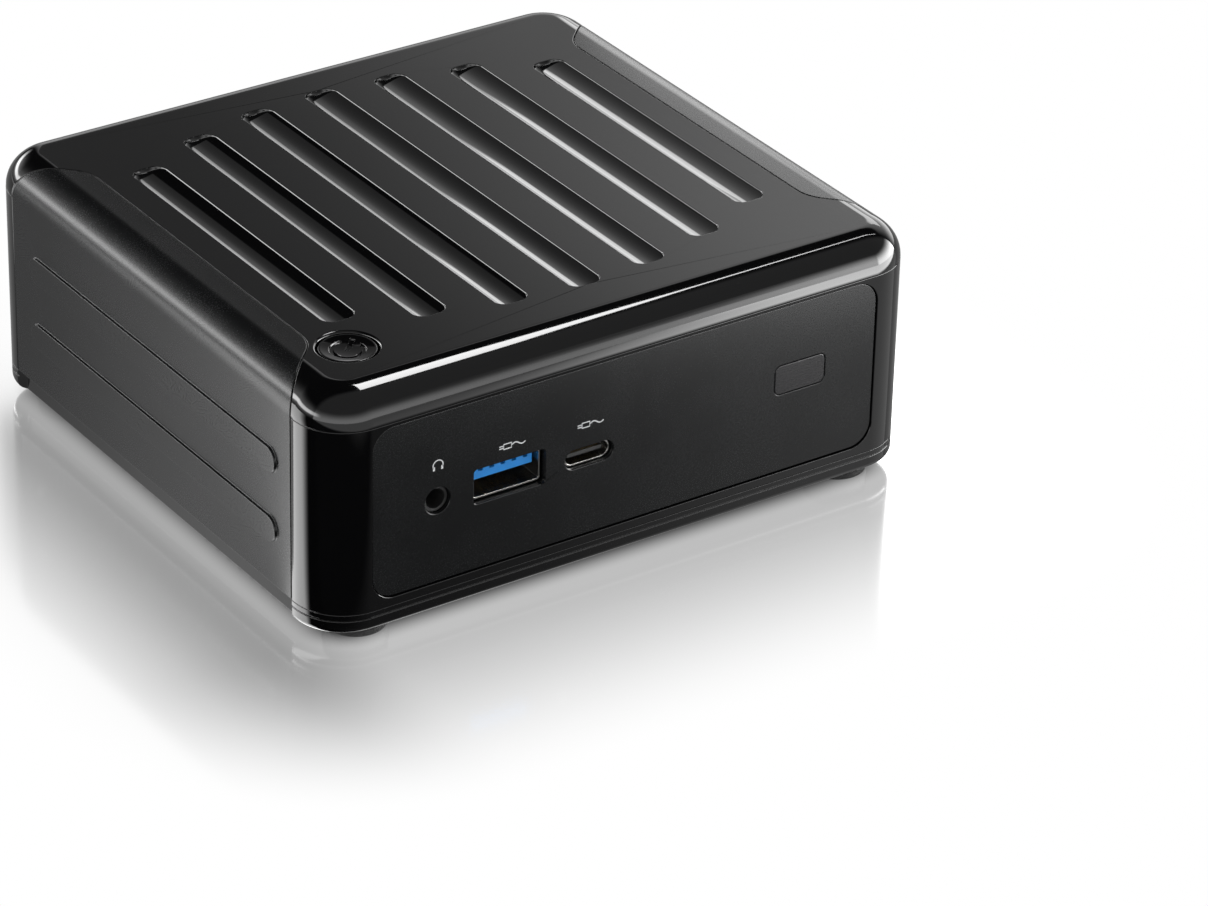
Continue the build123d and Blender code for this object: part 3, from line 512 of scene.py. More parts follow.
def copies(name, slot, part, points):
    """The mesh part, repeated at each point."""
    pattern = bpy.data.objects.new(name + "_pattern", part)
    form = FormTree(name, slot, {"Part": pattern})
    made = form.result(form.repeat(form["Geometry"], form.object_shape("Part")), points)
    bpy.data.objects.remove(pattern)
    return made


# ---------- mesh helpers ----------

SHARP_ANGLE = 32                # degrees; edges sharper than this are rounded
WELD_GAP = 0.0015 * MM
FLAT_ANGLE = 0.4                # degrees; neighbours flatter than this become one face
ON_FORM_GAP = 0.02 * MM         # how close to the enclosure's form a point counts as on it


def put(name, data):
    """A new object in the scene."""
    thing = bpy.data.objects.new(name, data)
    bpy.context.scene.collection.objects.link(thing)
    return thing


def mesh_of(shape, name):
    """The bmesh as a new mesh."""
    mesh = bpy.data.meshes.new(name)
    shape.to_mesh(mesh)
    shape.free()
    return mesh


def show(name, mesh, body, slot, replaced=(), material=None):
    """Makes the mesh a finished piece that rides on a body."""
    piece = put(name, mesh)
    mesh.materials.clear()
    mesh.materials.append(material or finish_of(slot))
    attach(piece, body)
    if replaced:
        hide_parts(*replaced)


def merged_copy(node):
    """A CAD node's mesh with its loose triangles joined and its flat areas made whole."""
    shape = bmesh.new()
    shape.from_mesh(frame["nodes"][node].data)
    bmesh.ops.remove_doubles(shape, verts=shape.verts, dist=WELD_GAP)
    bmesh.ops.dissolve_limit(
        shape, angle_limit=math.radians(FLAT_ANGLE), verts=shape.verts, edges=shape.edges)
    return shape


def evaluated(piece):
    """The piece's mesh with its modifiers applied."""
    graph = bpy.context.evaluated_depsgraph_get()
    return bpy.data.meshes.new_from_object(
        piece.evaluated_get(graph), preserve_all_data_layers=True, depsgraph=graph)


def with_modifiers(mesh, *steps):
    """A new mesh: the given one after the modifiers, each a kind and its settings."""
    stand = put("stand_in", mesh)
    for kind, settings in steps:
        modifier = stand.modifiers.new(kind.lower(), kind)
        for name, value in settings.items():
            setattr(modifier, name, value)
    made = evaluated(stand)
    bpy.data.objects.remove(stand)
    return made


def joined(name, *meshes):
    """One mesh from several."""
    shape = bmesh.new()
    for mesh in meshes:
        shape.from_mesh(mesh)
    return mesh_of(shape, name)


def lathe(name, profile, sides=64, height_at=None):
    """A turned form, 64 sides round by default. profile is (radius, height) from its top downwards."""
    shape = bmesh.new()
    rings = []
    for radius, z in profile:
        ring = []
        for i in range(sides if radius > 0 else 1):
            turn = 2 * math.pi * i / sides
            x, y = radius * math.cos(turn), radius * math.sin(turn)
            ring.append(shape.verts.new((x, y, height_at(x, y, z) if height_at else z)))
        rings.append(ring)
    for upper, lower in zip(rings, rings[1:]):
        for i in range(sides):
            j = (i + 1) % sides
            corners = [upper[i % len(upper)], lower[i % len(lower)],
                       lower[j % len(lower)], upper[j % len(upper)]]
            shape.faces.new(list(dict.fromkeys(corners)))
    bmesh.ops.recalc_face_normals(shape, faces=shape.faces)
    return mesh_of(shape, name)


def smooth(mesh, angle=35):
    """Smooth shading with creases sharper than the angle kept."""
    for face in mesh.polygons:
        face.use_smooth = True
    mesh.set_sharp_from_angle(angle=math.radians(angle))
    return mesh


def shifted(mesh, place):
    mesh.transform(Matrix.Translation(place))
    return mesh


def bevelled(mesh, name, edge, segments=2):
    """A mesh with its sharp edges rounded."""
    shape = bmesh.new()
    shape.from_mesh(mesh)
    return softened(shape, name, edge, segments=segments)


def softened(shape, name, edge, segments=2):
    """The shape as a mesh with every sharp edge rounded and flat faces kept flat in shading."""
    mesh = mesh_of(shape, name)
    for face in mesh.polygons:
        face.use_smooth = True
    bevel = {"width": edge, "segments": segments, "limit_method": "ANGLE",
             "angle_limit": math.radians(SHARP_ANGLE), "use_clamp_overlap": False}
    flat = {"mode": "FACE_AREA", "weight": 100, "thresh": 0.001, "keep_sharp": False}
    made = with_modifiers(mesh, ("BEVEL", bevel), ("WEIGHTED_NORMAL", flat))
    made.name = name
    return made


def dome_normal(point):
    """The outward direction of the enclosure's form at a point on it, or None away from it."""
    flat = Vector((HALF_WIDTH - CORNER_R, HALF_DEPTH - CORNER_R))
    past = Vector((abs(point.x) - flat.x, abs(point.y) - flat.y))
    if past.x > 0 and past.y > 0:
        plan, inset = past.normalized(), CORNER_R - past.length
    elif past.x > past.y:
        plan, inset = Vector((1, 0)), CORNER_R - past.x
    else:
        plan, inset = Vector((0, 1)), CORNER_R - past.y
    plan = Vector((math.copysign(plan.x, point.x), math.copysign(plan.y, point.y), 0))
    rise, reach = point.z - (TOP_Z - TOP_R), TOP_R - inset
    if rise <= 0 or reach <= 0:
        off = inset if rise <= 0 else TOP_R - rise
        normal = plan if rise <= 0 else Vector((0, 0, 1))
    else:
        off = TOP_R - math.hypot(rise, reach)
        normal = (plan * reach + Vector((0, 0, rise))).normalized()
    return normal if abs(off) < ON_FORM_GAP else None


def shade_as_dome(mesh):
    """Gives the faces that lie on the enclosure's form its exact outward directions."""
    normals = [tuple(corner.vector) for corner in mesh.corner_normals]
    for face in mesh.polygons:
        for loop in face.loop_indices:
            exact = dome_normal(mesh.vertices[mesh.loops[loop].vertex_index].co)
            if exact is not None and exact.dot(face.normal) > 0.985:
                normals[loop] = tuple(exact)
    mesh.normals_split_custom_set(normals)


def moulding(name, node, edge=None, on_dome=False, segments=2):
    """A CAD node's finished form, with softened edges, standing in for the node."""
    edge = edge or bpy.context.scene.computer_enclosure.edge
    mesh = softened(merged_copy(node), name, edge, segments=segments)
    if on_dome:
        shade_as_dome(mesh)
    show(name, mesh, ENCLOSURE, slot_of(node), [node])


class PieceOperator(bpy.types.Operator):
    """Common ground of the operators: one undo step each, and a failure stops the script."""
    bl_options = {"REGISTER", "UNDO"}

    def execute(self, context):
        self.build(context.scene)
        return {"FINISHED"}


# ---------- enclosure ----------

TROUGH_MID_Y = 0.5 * MM
TROUGH_CORNER = 2.0 * MM
CORNER_STEPS, END_STEPS, WALL_STEPS = 8, 6, 12
SEARCH_DEPTH = 1.5 * MM   # deeper than any trough
PANEL_EDGE, SOCKET_EDGE, REAR_EDGE, CONTACT_EDGE = 0.2 * MM, 0.05 * MM, 0.07 * MM, 0.04 * MM
RIM_OUT, RIM_IN = 0.17 * MM, 0.01 * MM   # how far the steep wall reaches either side of the outline
TOUCH = 0.002 * MM


def eased(share):
    """Zero to one with a soft start and end."""
    share = min(max(share, 0.0), 1.0)
    return share * share * (3 - 2 * share)


def trough_places(settings):
    """The middle x and half the length of each trough."""
    middle_one = (settings.trough_count - 1) / 2
    places = []
    for i in range(settings.trough_count):
        x = (i - middle_one) * settings.trough_pitch
        sag = settings.trough_arc - math.sqrt(settings.trough_arc ** 2 - x ** 2)
        places.append((x, settings.trough_reach - sag))
    return places


def end_chain(half_width, reach, corner):
    """The front end of a rounded outline from its left side to its right side."""
    inner = half_width - corner
    turns = [math.pi / 2 * i / CORNER_STEPS for i in range(CORNER_STEPS + 1)]
    bend = [(inner + corner * math.cos(t), -(reach - corner + corner * math.sin(t))) for t in turns]
    flat = [(-inner + 2 * inner * i / END_STEPS, -reach) for i in range(1, END_STEPS)]
    return [(-x, y) for x, y in bend] + flat + bend[::-1]


def add_trough(shape, settings, x, reach):
    """Adds one trough: a steep rounded wall all round a floor that is an arc across."""
    half, wall = settings.trough_width / 2, settings.trough_wall
    sagitta = settings.trough_depth - wall
    radius = (half ** 2 + sagitta ** 2) / (2 * sagitta)
    rings = []
    for i in range(WALL_STEPS + 1):
        inset = -RIM_OUT + (RIM_OUT + RIM_IN) * i / WALL_STEPS
        share = eased(i / WALL_STEPS)
        front = end_chain(half - inset, reach - inset, TROUGH_CORNER - inset)
        ring = []
        for px, py in front + [(px, -py) for px, py in reversed(front)]:
            floor = settings.trough_depth - radius + math.sqrt(radius ** 2 - px ** 2)
            ring.append(shape.verts.new((x + px, TROUGH_MID_Y + py, TOP_Z - floor * share)))
        rings.append(ring)
    count = len(rings[0])
    for outer, inner in zip(rings, rings[1:]):
        for i in range(count):
            j = (i + 1) % count
            shape.faces.new((outer[i], outer[j], inner[j], inner[i]))
    last, half_count = rings[-1], count // 2
    for i in range(half_count - 1):
        shape.faces.new((last[i], last[i + 1], last[count - 2 - i], last[count - 1 - i]))


def cover_shape(settings):
    """The cover with its troughs remade from their rule and its top face filled in round them."""
    shape = merged_copy("top_cover")
    places = trough_places(settings)
    half = settings.trough_width / 2 + TOUCH
    floor_z = TOP_Z - SEARCH_DEPTH

    def in_trough(spot):
        return spot.z > floor_z and any(
            abs(spot.x - x) < half and abs(spot.y - TROUGH_MID_Y) < reach + TOUCH for x, reach in places)

    def on_top(face):
        return face.normal.z > 0.999 and all(v.co.z > TOP_Z - TOUCH for v in face.verts)

    gone = [f for f in shape.faces if on_top(f) or all(in_trough(v.co) for v in f.verts)]
    bmesh.ops.delete(shape, geom=gone, context="FACES")
    for x, reach in places:
        add_trough(shape, settings, x, reach)
    rims = [e for e in shape.edges if e.is_boundary and all(v.co.z > TOP_Z - TOUCH for v in e.verts)]
    bmesh.ops.triangle_fill(shape, use_beauty=True, edges=rims, normal=(0, 0, 1))
    bmesh.ops.recalc_face_normals(shape, faces=shape.faces)
    return shape


class COMPUTER_OT_top_cover(PieceOperator):
    """Build the polished top cover with its troughs"""
    bl_idname = "computer.top_cover"
    bl_label = "Top cover"

    def build(self, scene):
        settings = scene.computer_enclosure
        mesh = softened(cover_shape(settings), "cover_moulding", settings.edge)
        shade_as_dome(mesh)
        show("cover_moulding", mesh, ENCLOSURE, slot_of("top_cover"), ["top_cover"])


class COMPUTER_OT_side_panels(PieceOperator):
    """Build the two satin side panels with their raised ribs"""
    bl_idname = "computer.side_panels"
    bl_label = "Side panels"

    def build(self, scene):
        for side in ("left", "right"):
            moulding("panel_moulding_" + side, "side_panel_" + side, PANEL_EDGE, on_dome=True, segments=3)


class COMPUTER_OT_frame_and_base(PieceOperator):
    """Build the middle frame and the bottom cover"""
    bl_idname = "computer.frame_and_base"
    bl_label = "Frame and base"

    def build(self, scene):
        moulding("frame_moulding", "mid_frame", on_dome=True)
        moulding("base_moulding", "bottom_cover", on_dome=True)


class COMPUTER_OT_front_face(PieceOperator):
    """Build the front panel and the receiver's window"""
    bl_idname = "computer.front_face"
    bl_label = "Front face"

    def build(self, scene):
        moulding("face_moulding", "front_panel")
        moulding("window_moulding", "ir_window")


# ---------- power button ----------

CAP_R, CAP_TOP = 4.8 * MM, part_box("power_button")[1].z
DISH_R, DISH_DEPTH = 22 * MM, 0.45 * MM
SYMBOL_R, SYMBOL_LINE, SYMBOL_DEPTH, SYMBOL_GAP = 2.65 * MM, 0.35 * MM, 0.3 * MM, 1.65 * MM
SYMBOL_WALL = 0.12 * MM
BAR_MID, BAR_HALF = 1.65 * MM, 1.85 * MM
CAP_EDGE, CAP_BLEND = 0.2 * MM, 0.5 * MM
FLANGE_R, FLANGE_TOP, FLANGE_BOTTOM, FLANGE_EDGE, STEM_R = 6 * MM, 43.3 * MM, 42.3 * MM, 0.1 * MM, 2 * MM


def symbol_depth(x, y):
    """How deep the engraved open ring and bar are. They open towards the rear right corner."""
    x, y = (x - y) * math.sqrt(0.5), (x + y) * math.sqrt(0.5)
    across = abs(math.hypot(x, y) - SYMBOL_R) - SYMBOL_LINE
    gap = SYMBOL_GAP - abs(x) if y > 0 else -1.0
    bar = max(abs(x) - SYMBOL_LINE, abs(y - BAR_MID) - BAR_HALF)
    inside = -min(max(across, gap), bar)
    return SYMBOL_DEPTH * eased(inside / SYMBOL_WALL + 0.5)


def cap_height(x, y, z):
    """The cap's dished top with its symbol; its sides keep the height they are given."""
    if z < CAP_TOP - TOUCH:
        return z
    radius = math.hypot(x, y)
    dish = DISH_DEPTH - (DISH_R - math.sqrt(DISH_R ** 2 - radius ** 2))
    return z - max(dish, 0.0) * eased((CAP_R - radius) / CAP_BLEND) - symbol_depth(x, y)


class COMPUTER_OT_power_button(PieceOperator):
    """Build the dished power button with its engraved symbol"""
    bl_idname = "computer.power_button"
    bl_label = "Power button"

    def build(self, scene):
        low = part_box("power_button")[0].z
        top = [(CAP_R * 0.955 * i / 88, CAP_TOP) for i in range(89)]
        quarter = [(CAP_R - CAP_EDGE + CAP_EDGE * math.sin(a),
                    CAP_TOP - CAP_EDGE + CAP_EDGE * math.cos(a) - TOUCH * 2)
                   for a in (math.pi / 16 * i for i in range(1, 9))]
        skirt = [(CAP_R, FLANGE_TOP), (FLANGE_R - FLANGE_EDGE, FLANGE_TOP),
                 (FLANGE_R, FLANGE_TOP - FLANGE_EDGE), (FLANGE_R, FLANGE_BOTTOM),
                 (STEM_R, FLANGE_BOTTOM), (STEM_R, low), (0.0, low)]
        mesh = lathe("button_cap", top + quarter + skirt, 240, cap_height)
        place = middle("power_button")
        smooth(shifted(mesh, (place.x, place.y, 0)), 50)
        show("button_cap", mesh, BUTTON_CAP, slot_of("power_button"), ["power_button"])


# ---------- front marks and sockets ----------

PRINT_T = 0.02 * MM
JACK_MARK_Z, WIDE_MARK_Z, SMALL_MARK_Z = 29.3, 28.9, 28.3   # millimetres, like every mark's measures


def stroke(shape, points, width, closed=False):
    """A thin printed line along points, which are (x, z) on the front face."""
    points = [Vector(p) * MM for p in points]
    ways = []
    for i, here in enumerate(points):
        before = points[i - 1] if i or closed else here
        after = points[(i + 1) % len(points)] if i + 1 < len(points) or closed else here
        ways.append((after - before).normalized())
    columns = []
    for here, way in zip(points, ways):
        side = Vector((-way.y, way.x)) * width * MM / 2
        spots = (here + side, here - side)
        columns.append([shape.verts.new((p.x, FACE_Y + y, p.y))
                        for y in (-PRINT_T, PRINT_T) for p in spots])
    pairs = list(zip(columns, columns[1:])) + ([(columns[-1], columns[0])] if closed else [])
    for a, b in pairs:
        for i, j in ((0, 1), (1, 3), (3, 2), (2, 0)):
            shape.faces.new((a[i], a[j], b[j], b[i]))
    if not closed:
        for end in (columns[0], columns[-1]):
            shape.faces.new((end[0], end[1], end[3], end[2]))


def arc(x, z, radius, start, end, steps=20):
    turns = (math.radians(start + (end - start) * i / steps) for i in range(steps + 1))
    return [(x + radius * math.cos(t), z + radius * math.sin(t)) for t in turns]


def headset_mark(shape, x, z):
    """A headband over two ear cushions."""
    stroke(shape, arc(x, z, 0.95, 200, -20), 0.2)
    for side in (-1, 1):
        cushion = x + side * 0.78
        stroke(shape, [(cushion, z - 0.15), (cushion, z - 0.85)], 0.38)


def plug_mark(shape, x, z):
    """A cable that ends in a plug."""
    stroke(shape, [(x, z - 0.45), (x + 1.5, z - 0.45), (x + 1.5, z + 0.45), (x, z + 0.45)], 0.22, closed=True)
    for rise in (-0.2, 0.2):
        stroke(shape, [(x - 0.85, z + rise), (x - 0.1, z + rise)], 0.2)
    curl = [(x + 1.6 + 2.6 * i / 12, z + 0.3 * math.sin(i / 12 * 2 * math.pi)) for i in range(13)]
    stroke(shape, curl, 0.22)


class COMPUTER_OT_front_marks(PieceOperator):
    """Print the small generic pictograms over the front sockets"""
    bl_idname = "computer.front_marks"
    bl_label = "Front marks"

    def build(self, scene):
        shape = bmesh.new()
        jack, wide, small = (middle(n) for n in ("headset_jack", "front_usb_a_shell", "front_usb_c_shell"))
        headset_mark(shape, jack.x / MM, JACK_MARK_Z)
        plug_mark(shape, wide.x / MM - 1.3, WIDE_MARK_Z)
        plug_mark(shape, small.x / MM - 1.6, SMALL_MARK_Z)
        bmesh.ops.recalc_face_normals(shape, faces=shape.faces)
        show("printed_marks", mesh_of(shape, "printed_marks"), ENCLOSURE, slot_of("front_panel"),
             material=finish_of("printed_mark"))


class COMPUTER_OT_front_sockets(PieceOperator):
    """Build the headset jack and the two front ports with their contacts"""
    bl_idname = "computer.front_sockets"
    bl_label = "Front sockets"

    def build(self, scene):
        for node in ("headset_jack", "headset_contact", "front_usb_a_shell", "front_usb_a_tongue",
                     "front_usb_c_shell", "front_usb_c_tongue"):
            moulding(node + "_finished", node, SOCKET_EDGE)
        low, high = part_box("front_usb_a_contacts")
        centre = middle("front_usb_a_contacts")
        pitch = (high.x - low.x - 1 * MM) / 3
        size = (0.9 * MM, high.y - low.y, high.z - low.z)
        first = (low.x + 0.5 * MM, centre.y, centre.z)
        mesh = row_of_bars("port_contacts", "gold_contact", 4, size, first, (pitch, 0.0, 0.0))
        show("port_contacts", bevelled(mesh, "port_contacts", CONTACT_EDGE), ENCLOSURE,
             "gold_contact", ["front_usb_a_contacts"])
        low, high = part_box("front_usb_c_tongue")
        rows = []
        for z in (low.z - 0.01 * MM, high.z + 0.01 * MM):
            first = (low.x + 0.6 * MM, low.y + 1.4 * MM, z)
            rows.append(row_of_bars("small_port_row", "gold_contact", 12,
                                    (0.25 * MM, 2.0 * MM, 0.04 * MM), first, (0.5 * MM, 0.0, 0.0)))
        show("small_port_contacts", joined("small_port_contacts", *rows), ENCLOSURE, "gold_contact")


# ---------- rear ----------

NETWORK_PIN_Y, NETWORK_PIN_Z = 48 * MM, 29.6 * MM
TONGUE_TOPS = (23.4 * MM, 32.5 * MM)


class COMPUTER_OT_rear(PieceOperator):
    """Build the rear plate, its sockets and their contacts"""
    bl_idname = "computer.rear"
    bl_label = "Rear sockets"

    def build(self, scene):
        for node in ("rear_plate", "lan_socket", "rear_usb_shell", "rear_usb_tongues", "video_socket",
                     "display_socket", "power_inlet"):
            moulding(node + "_finished", node, REAR_EDGE)
        lan = middle("lan_socket")
        row = row_of_bars("network_contacts", "gold_contact", 8, (0.4 * MM, 6 * MM, 0.2 * MM),
                          (lan.x - 3.5 * MM, NETWORK_PIN_Y, NETWORK_PIN_Z), (1 * MM, 0.0, 0.0))
        show("network_contacts", row, ENCLOSURE, "gold_contact")
        x, y = middle("rear_usb_tongues").x - 3.5 * MM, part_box("rear_usb_tongues")[1].y - 6 * MM
        rows = [row_of_bars("rear_port_row", "gold_contact", 4, (1 * MM, 9 * MM, 0.1 * MM),
                            (x, y, z + 0.06 * MM), (2.33 * MM, 0.0, 0.0))
                for z in TONGUE_TOPS]
        show("rear_port_contacts", joined("rear_port_contacts", *rows), ENCLOSURE, "gold_contact")


# ---------- feet and screws ----------

FEET = ("foot_front_left", "foot_front_right", "foot_rear_left", "foot_rear_right")


class COMPUTER_OT_feet(PieceOperator):
    """Build the four rubber feet round their screws"""
    bl_idname = "computer.feet"
    bl_label = "Feet"

    def build(self, scene):
        low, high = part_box(FEET[0])
        outer, hole, tall, soft = (high.x - low.x) / 2, 3 * MM, high.z - low.z, 0.6 * MM
        turns = [math.pi / 12 * i for i in range(7)]
        profile = [(hole, tall), (outer, tall)]
        profile += [(outer - soft + soft * math.cos(t), soft - soft * math.sin(t)) for t in turns]
        inner = soft / 2
        profile += [(hole + inner - inner * math.sin(t), inner - inner * math.cos(t)) for t in turns]
        ring = lathe("foot_ring", profile + profile[:1], 72)
        shape = bmesh.new()
        shape.from_mesh(ring)
        bmesh.ops.remove_doubles(shape, verts=shape.verts, dist=TOUCH)
        bmesh.ops.recalc_face_normals(shape, faces=shape.faces)
        shape.to_mesh(ring)
        shape.free()
        spots = [(middle(foot).x, middle(foot).y, low.z) for foot in FEET]
        mesh = smooth(copies("feet", "black_rubber", ring, spots))
        show("rubber_feet", mesh, ENCLOSURE, "black_rubber", FEET)


def screw_form(head_r, head_h, shank_r, length, down):
    """A pan-head screw with a rolled thread; its head rests at height zero."""
    way = 1 if down else -1
    dome = [(head_r * math.sin(a), way * head_h * (0.55 + 0.45 * math.cos(a)))
            for a in (math.pi / 2 * i / 8 for i in range(9))]
    thread = []
    turns = max(int(length / (0.45 * MM)), 2)
    for i in range(turns):
        z = -way * length * (i + 0.3) / turns
        thread += [(shank_r * 0.84, z), (shank_r, z - way * length / turns * 0.4)]
    end = -way * length
    profile = dome + [(head_r, 0.0), (shank_r, 0.0)] + thread + [(shank_r * 0.7, end), (0.0, end)]
    return lathe("screw_form", profile, 32)


def screws(name, node, spots, rest, sizes, down=True):
    """Copies of one screw with a cross recess, standing in for a node of screws."""
    head_r, head_h, shank_r, length = (size * MM for size in sizes)
    pattern = bpy.data.objects.new("screw_pattern", screw_form(head_r, head_h, shank_r, length, down))
    form = FormTree(name, slot_of(node), {
        "Part": pattern, "Arm": head_r * 1.1, "Slot": max(head_r * 0.22, 0.3 * MM), "Deep": head_h * 1.2})
    level = (0, 0, head_h if down else -head_h)
    cross = form.join(form.box(form["Arm"], form["Slot"], form["Deep"], level),
                      form.box(form["Slot"], form["Arm"], form["Deep"], level))
    cut = form.make.add(
        "GeometryNodeMeshBoolean", {"operation": "DIFFERENCE", "solver": "EXACT"},
        {"Mesh 1": form.object_shape("Part"), "Mesh 2": cross, "Self Intersection": True})
    mesh = form.result(form.repeat(form["Geometry"], cut), [(x, y, rest) for x, y in spots])
    bpy.data.objects.remove(pattern)
    show(name, smooth(mesh), ENCLOSURE, slot_of(node), [node])


def corner_spots(node, head_r):
    """The middles of four screws whose heads touch the corners of their node's box."""
    low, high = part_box(node)
    reach = head_r * MM
    return [(x, y) for x in (low.x + reach, high.x - reach) for y in (low.y + reach, high.y - reach)]


SCREW_HEAD_R, PLATE_HEAD_R = 2.7, 2.4   # millimetres, like every screw's measures
COVER_REST, BOARD_REST = 6 * MM, 20 * MM


class COMPUTER_OT_screws(PieceOperator):
    """Build the screws with their cross recesses and threads"""
    bl_idname = "computer.screws"
    bl_label = "Screws"

    def build(self, scene):
        spots = corner_spots("bottom_cover_screws", SCREW_HEAD_R)
        screws("cover_screws", "bottom_cover_screws", spots, COVER_REST,
               (SCREW_HEAD_R, 2.2, 1.2, 8.5), down=False)
        spots = corner_spots("mainboard_screws", SCREW_HEAD_R)
        screws("board_screws", "mainboard_screws", spots, BOARD_REST, (SCREW_HEAD_R, 1.6, 1.2, 4.6))
        low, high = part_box("heatsink_screws")
        spots = corner_spots("heatsink_screws", PLATE_HEAD_R)
        rest = high.z - 1.2 * MM
        screws("plate_screws", "heatsink_screws", spots, rest,
               (PLATE_HEAD_R, 1.2, 1.2, (rest - low.z) / MM))


# ---------- cooling ----------

class COMPUTER_OT_cooling(PieceOperator):
    """Build the fan wheel and the fins"""
    bl_idname = "computer.cooling"
    bl_label = "Fan and fins"

    def build(self, scene):
        low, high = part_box("fan_impeller")
        centre = middle("fan_impeller")
        hub_r, rise, soft, wall, base = 10.5 * MM, high.z - low.z, 0.5 * MM, 1 * MM, 0.6 * MM
        bearing_r, bearing_top, shaft_r, shaft_top = 2.2 * MM, 3.2 * MM, 1 * MM, 0.9 * MM
        form = FormTree("fan_blades", "fan_plastic", {
            "Blades": 29, "Hub": hub_r - soft, "Tip": 19.6 * MM, "Sweep": 2.6 * MM,
            "Thickness": 0.45 * MM, "Height": rise - soft})
        path = form.make.add("GeometryNodeCurveQuadraticBezier", None, {
            "Resolution": 9, "Start": form.vector(form["Hub"]),
            "Middle": form.vector(form["Tip"] * 0.75, form["Sweep"] * -1.2),
            "End": form.vector(form["Tip"], form["Sweep"] * -0.4)})
        outline = form.make.add("GeometryNodeCurvePrimitiveQuadrilateral", None,
                                {"Width": form["Thickness"], "Height": form["Height"]})
        blade = form.make.add("GeometryNodeCurveToMesh", None,
                              {"Curve": path, "Profile Curve": outline, "Fill Caps": True})
        points = form.make.add("GeometryNodeMeshLine", None, {"Count": form["Blades"], "Offset": (0, 0, 0)})
        index = form.make.add("GeometryNodeInputIndex")
        turn = form.vector(0.0, 0.0, index * (2 * math.pi) / form["Blades"])
        blades = form.result(form.repeat(points, blade, Rotation=turn))
        shifted(blades, (0, 0, rise / 2))
        rim = [(hub_r - soft + soft * math.sin(a), rise - soft + soft * math.cos(a))
               for a in (math.pi / 12 * i for i in range(7))]
        inside = [(hub_r, base), (hub_r - wall, base), (hub_r - wall, rise - wall),
                  (bearing_r, rise - wall), (bearing_r, rise - bearing_top),
                  (shaft_r, rise - bearing_top), (shaft_r, rise - shaft_top), (0.0, rise - shaft_top)]
        hub = smooth(lathe("fan_hub", [(0.0, rise)] + rim + inside, 96))
        wheel = shifted(joined("fan_wheel", hub, blades), (centre.x, centre.y, low.z))
        show("fan_wheel", wheel, ROTOR, slot_of("fan_impeller"), ["fan_impeller"])

        low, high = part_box("fin_stack")
        centre, size = middle("fin_stack"), high - low
        count, thin, base_t = 33, 0.3 * MM, 0.5 * MM
        fins = row_of_bars("fins", "aluminium_fin", count, (thin, size.y, size.z),
                           (low.x + thin / 2, centre.y, centre.z), ((size.x - thin) / (count - 1), 0.0, 0.0))
        base = row_of_bars("fin_base", "aluminium_fin", 1, (size.x, size.y, base_t),
                           (centre.x, centre.y, low.z + base_t / 2), (0.0, 0.0, 0.0))
        show("fins", joined("fins", fins, base), ENCLOSURE, slot_of("fin_stack"), ["fin_stack"])


# ---------- stage ----------

MIRRORED = Vector((0.50, 0.715, 0.49))   # where the camera's view of the level top is mirrored to
CARD_REACH = 150 * MM                    # how far along it the card hangs
RIGHT_LIMIT = 80 * MM                    # how far the card runs on to the right
STRIP_WAY, STRIP_REACH = Vector((0.50, 0.19, 0.845)), 400 * MM
STRIP_TAPER = ((100, 75), (170, 66), (185, 44), (205, 32), (224, 10), (300, 3), (420, 3))
FLOOR_REACH = 3.0
FRONT_SLANT, LEFT_SLANT = 0.6, 1.43      # sideways drift of the floor's image as it nears the camera


def flat_piece(name, corners, material):
    """A single flat face that belongs to the stage."""
    mesh = bpy.data.meshes.new(name)
    mesh.from_pydata([tuple(c) for c in corners], [], [tuple(range(len(corners)))])
    card = put(name, mesh)
    mesh.materials.append(material)
    return card


def emission(make, strength):
    return make.add("ShaderNodeEmission", None, {"Color": grey(1.0), "Strength": strength})


def softbox(name, corners, shade):
    """A flat light that only polished surfaces see. shade(make) gives its strength over its face."""
    make = new_material(name)
    make.add("ShaderNodeOutputMaterial", None, {"Surface": emission(make, shade(make))})
    card = flat_piece(name, corners, finish_of(name))
    for ray in ("camera", "diffuse", "shadow", "transmission", "volume_scatter"):
        setattr(card, "visible_" + ray, False)


def level_rectangle(x, y, z):
    return [(x[0], y[0], z), (x[1], y[0], z), (x[1], y[1], z), (x[0], y[1], z)]


def top_card():
    """The gradient that the top face mirrors: dim on the left, bright on the right."""
    toward = MIRRORED * CARD_REACH
    half = 60 * MM * (1 + CARD_REACH / bpy.context.scene.computer_stage.distance)
    x = (toward.x - half, toward.x + half)
    y = (toward.y - half, toward.y + half)
    far_x = x[1] + RIGHT_LIMIT

    def shade(make):
        place_x = axis_of(make, 0)
        across = make.between(place_x, x[0], x[1])
        ahead = make.between(axis_of(make, 1), y[1], y[0])
        beyond = make.between(place_x, x[1], x[1] + 14 * MM)
        return 0.17 + across * across * 0.5 + across * ahead * 0.55 + beyond * 3.4
    high, low = TOP_Z + toward.z, TOP_Z + toward.z / 2
    softbox("top_card", level_rectangle((x[0], far_x), y, high), shade)
    hanging = [(x[0], y[1], low), (far_x, y[1], low), (far_x, y[1], high), (x[0], y[1], high)]
    softbox("top_card_edge", hanging, shade)


def strip_light():
    """The narrow tapering light that draws a crisp line along the front top edge."""
    toward = STRIP_WAY * STRIP_REACH
    y, z = FRONT_Y + 4 * MM + toward.y, TOP_Z + toward.z
    near = [(along * MM, y - half * MM, z) for along, half in STRIP_TAPER]
    far = [(along * MM, y + half * MM, z) for along, half in reversed(STRIP_TAPER)]
    softbox("strip_light", near + far, lambda make: 18.0)


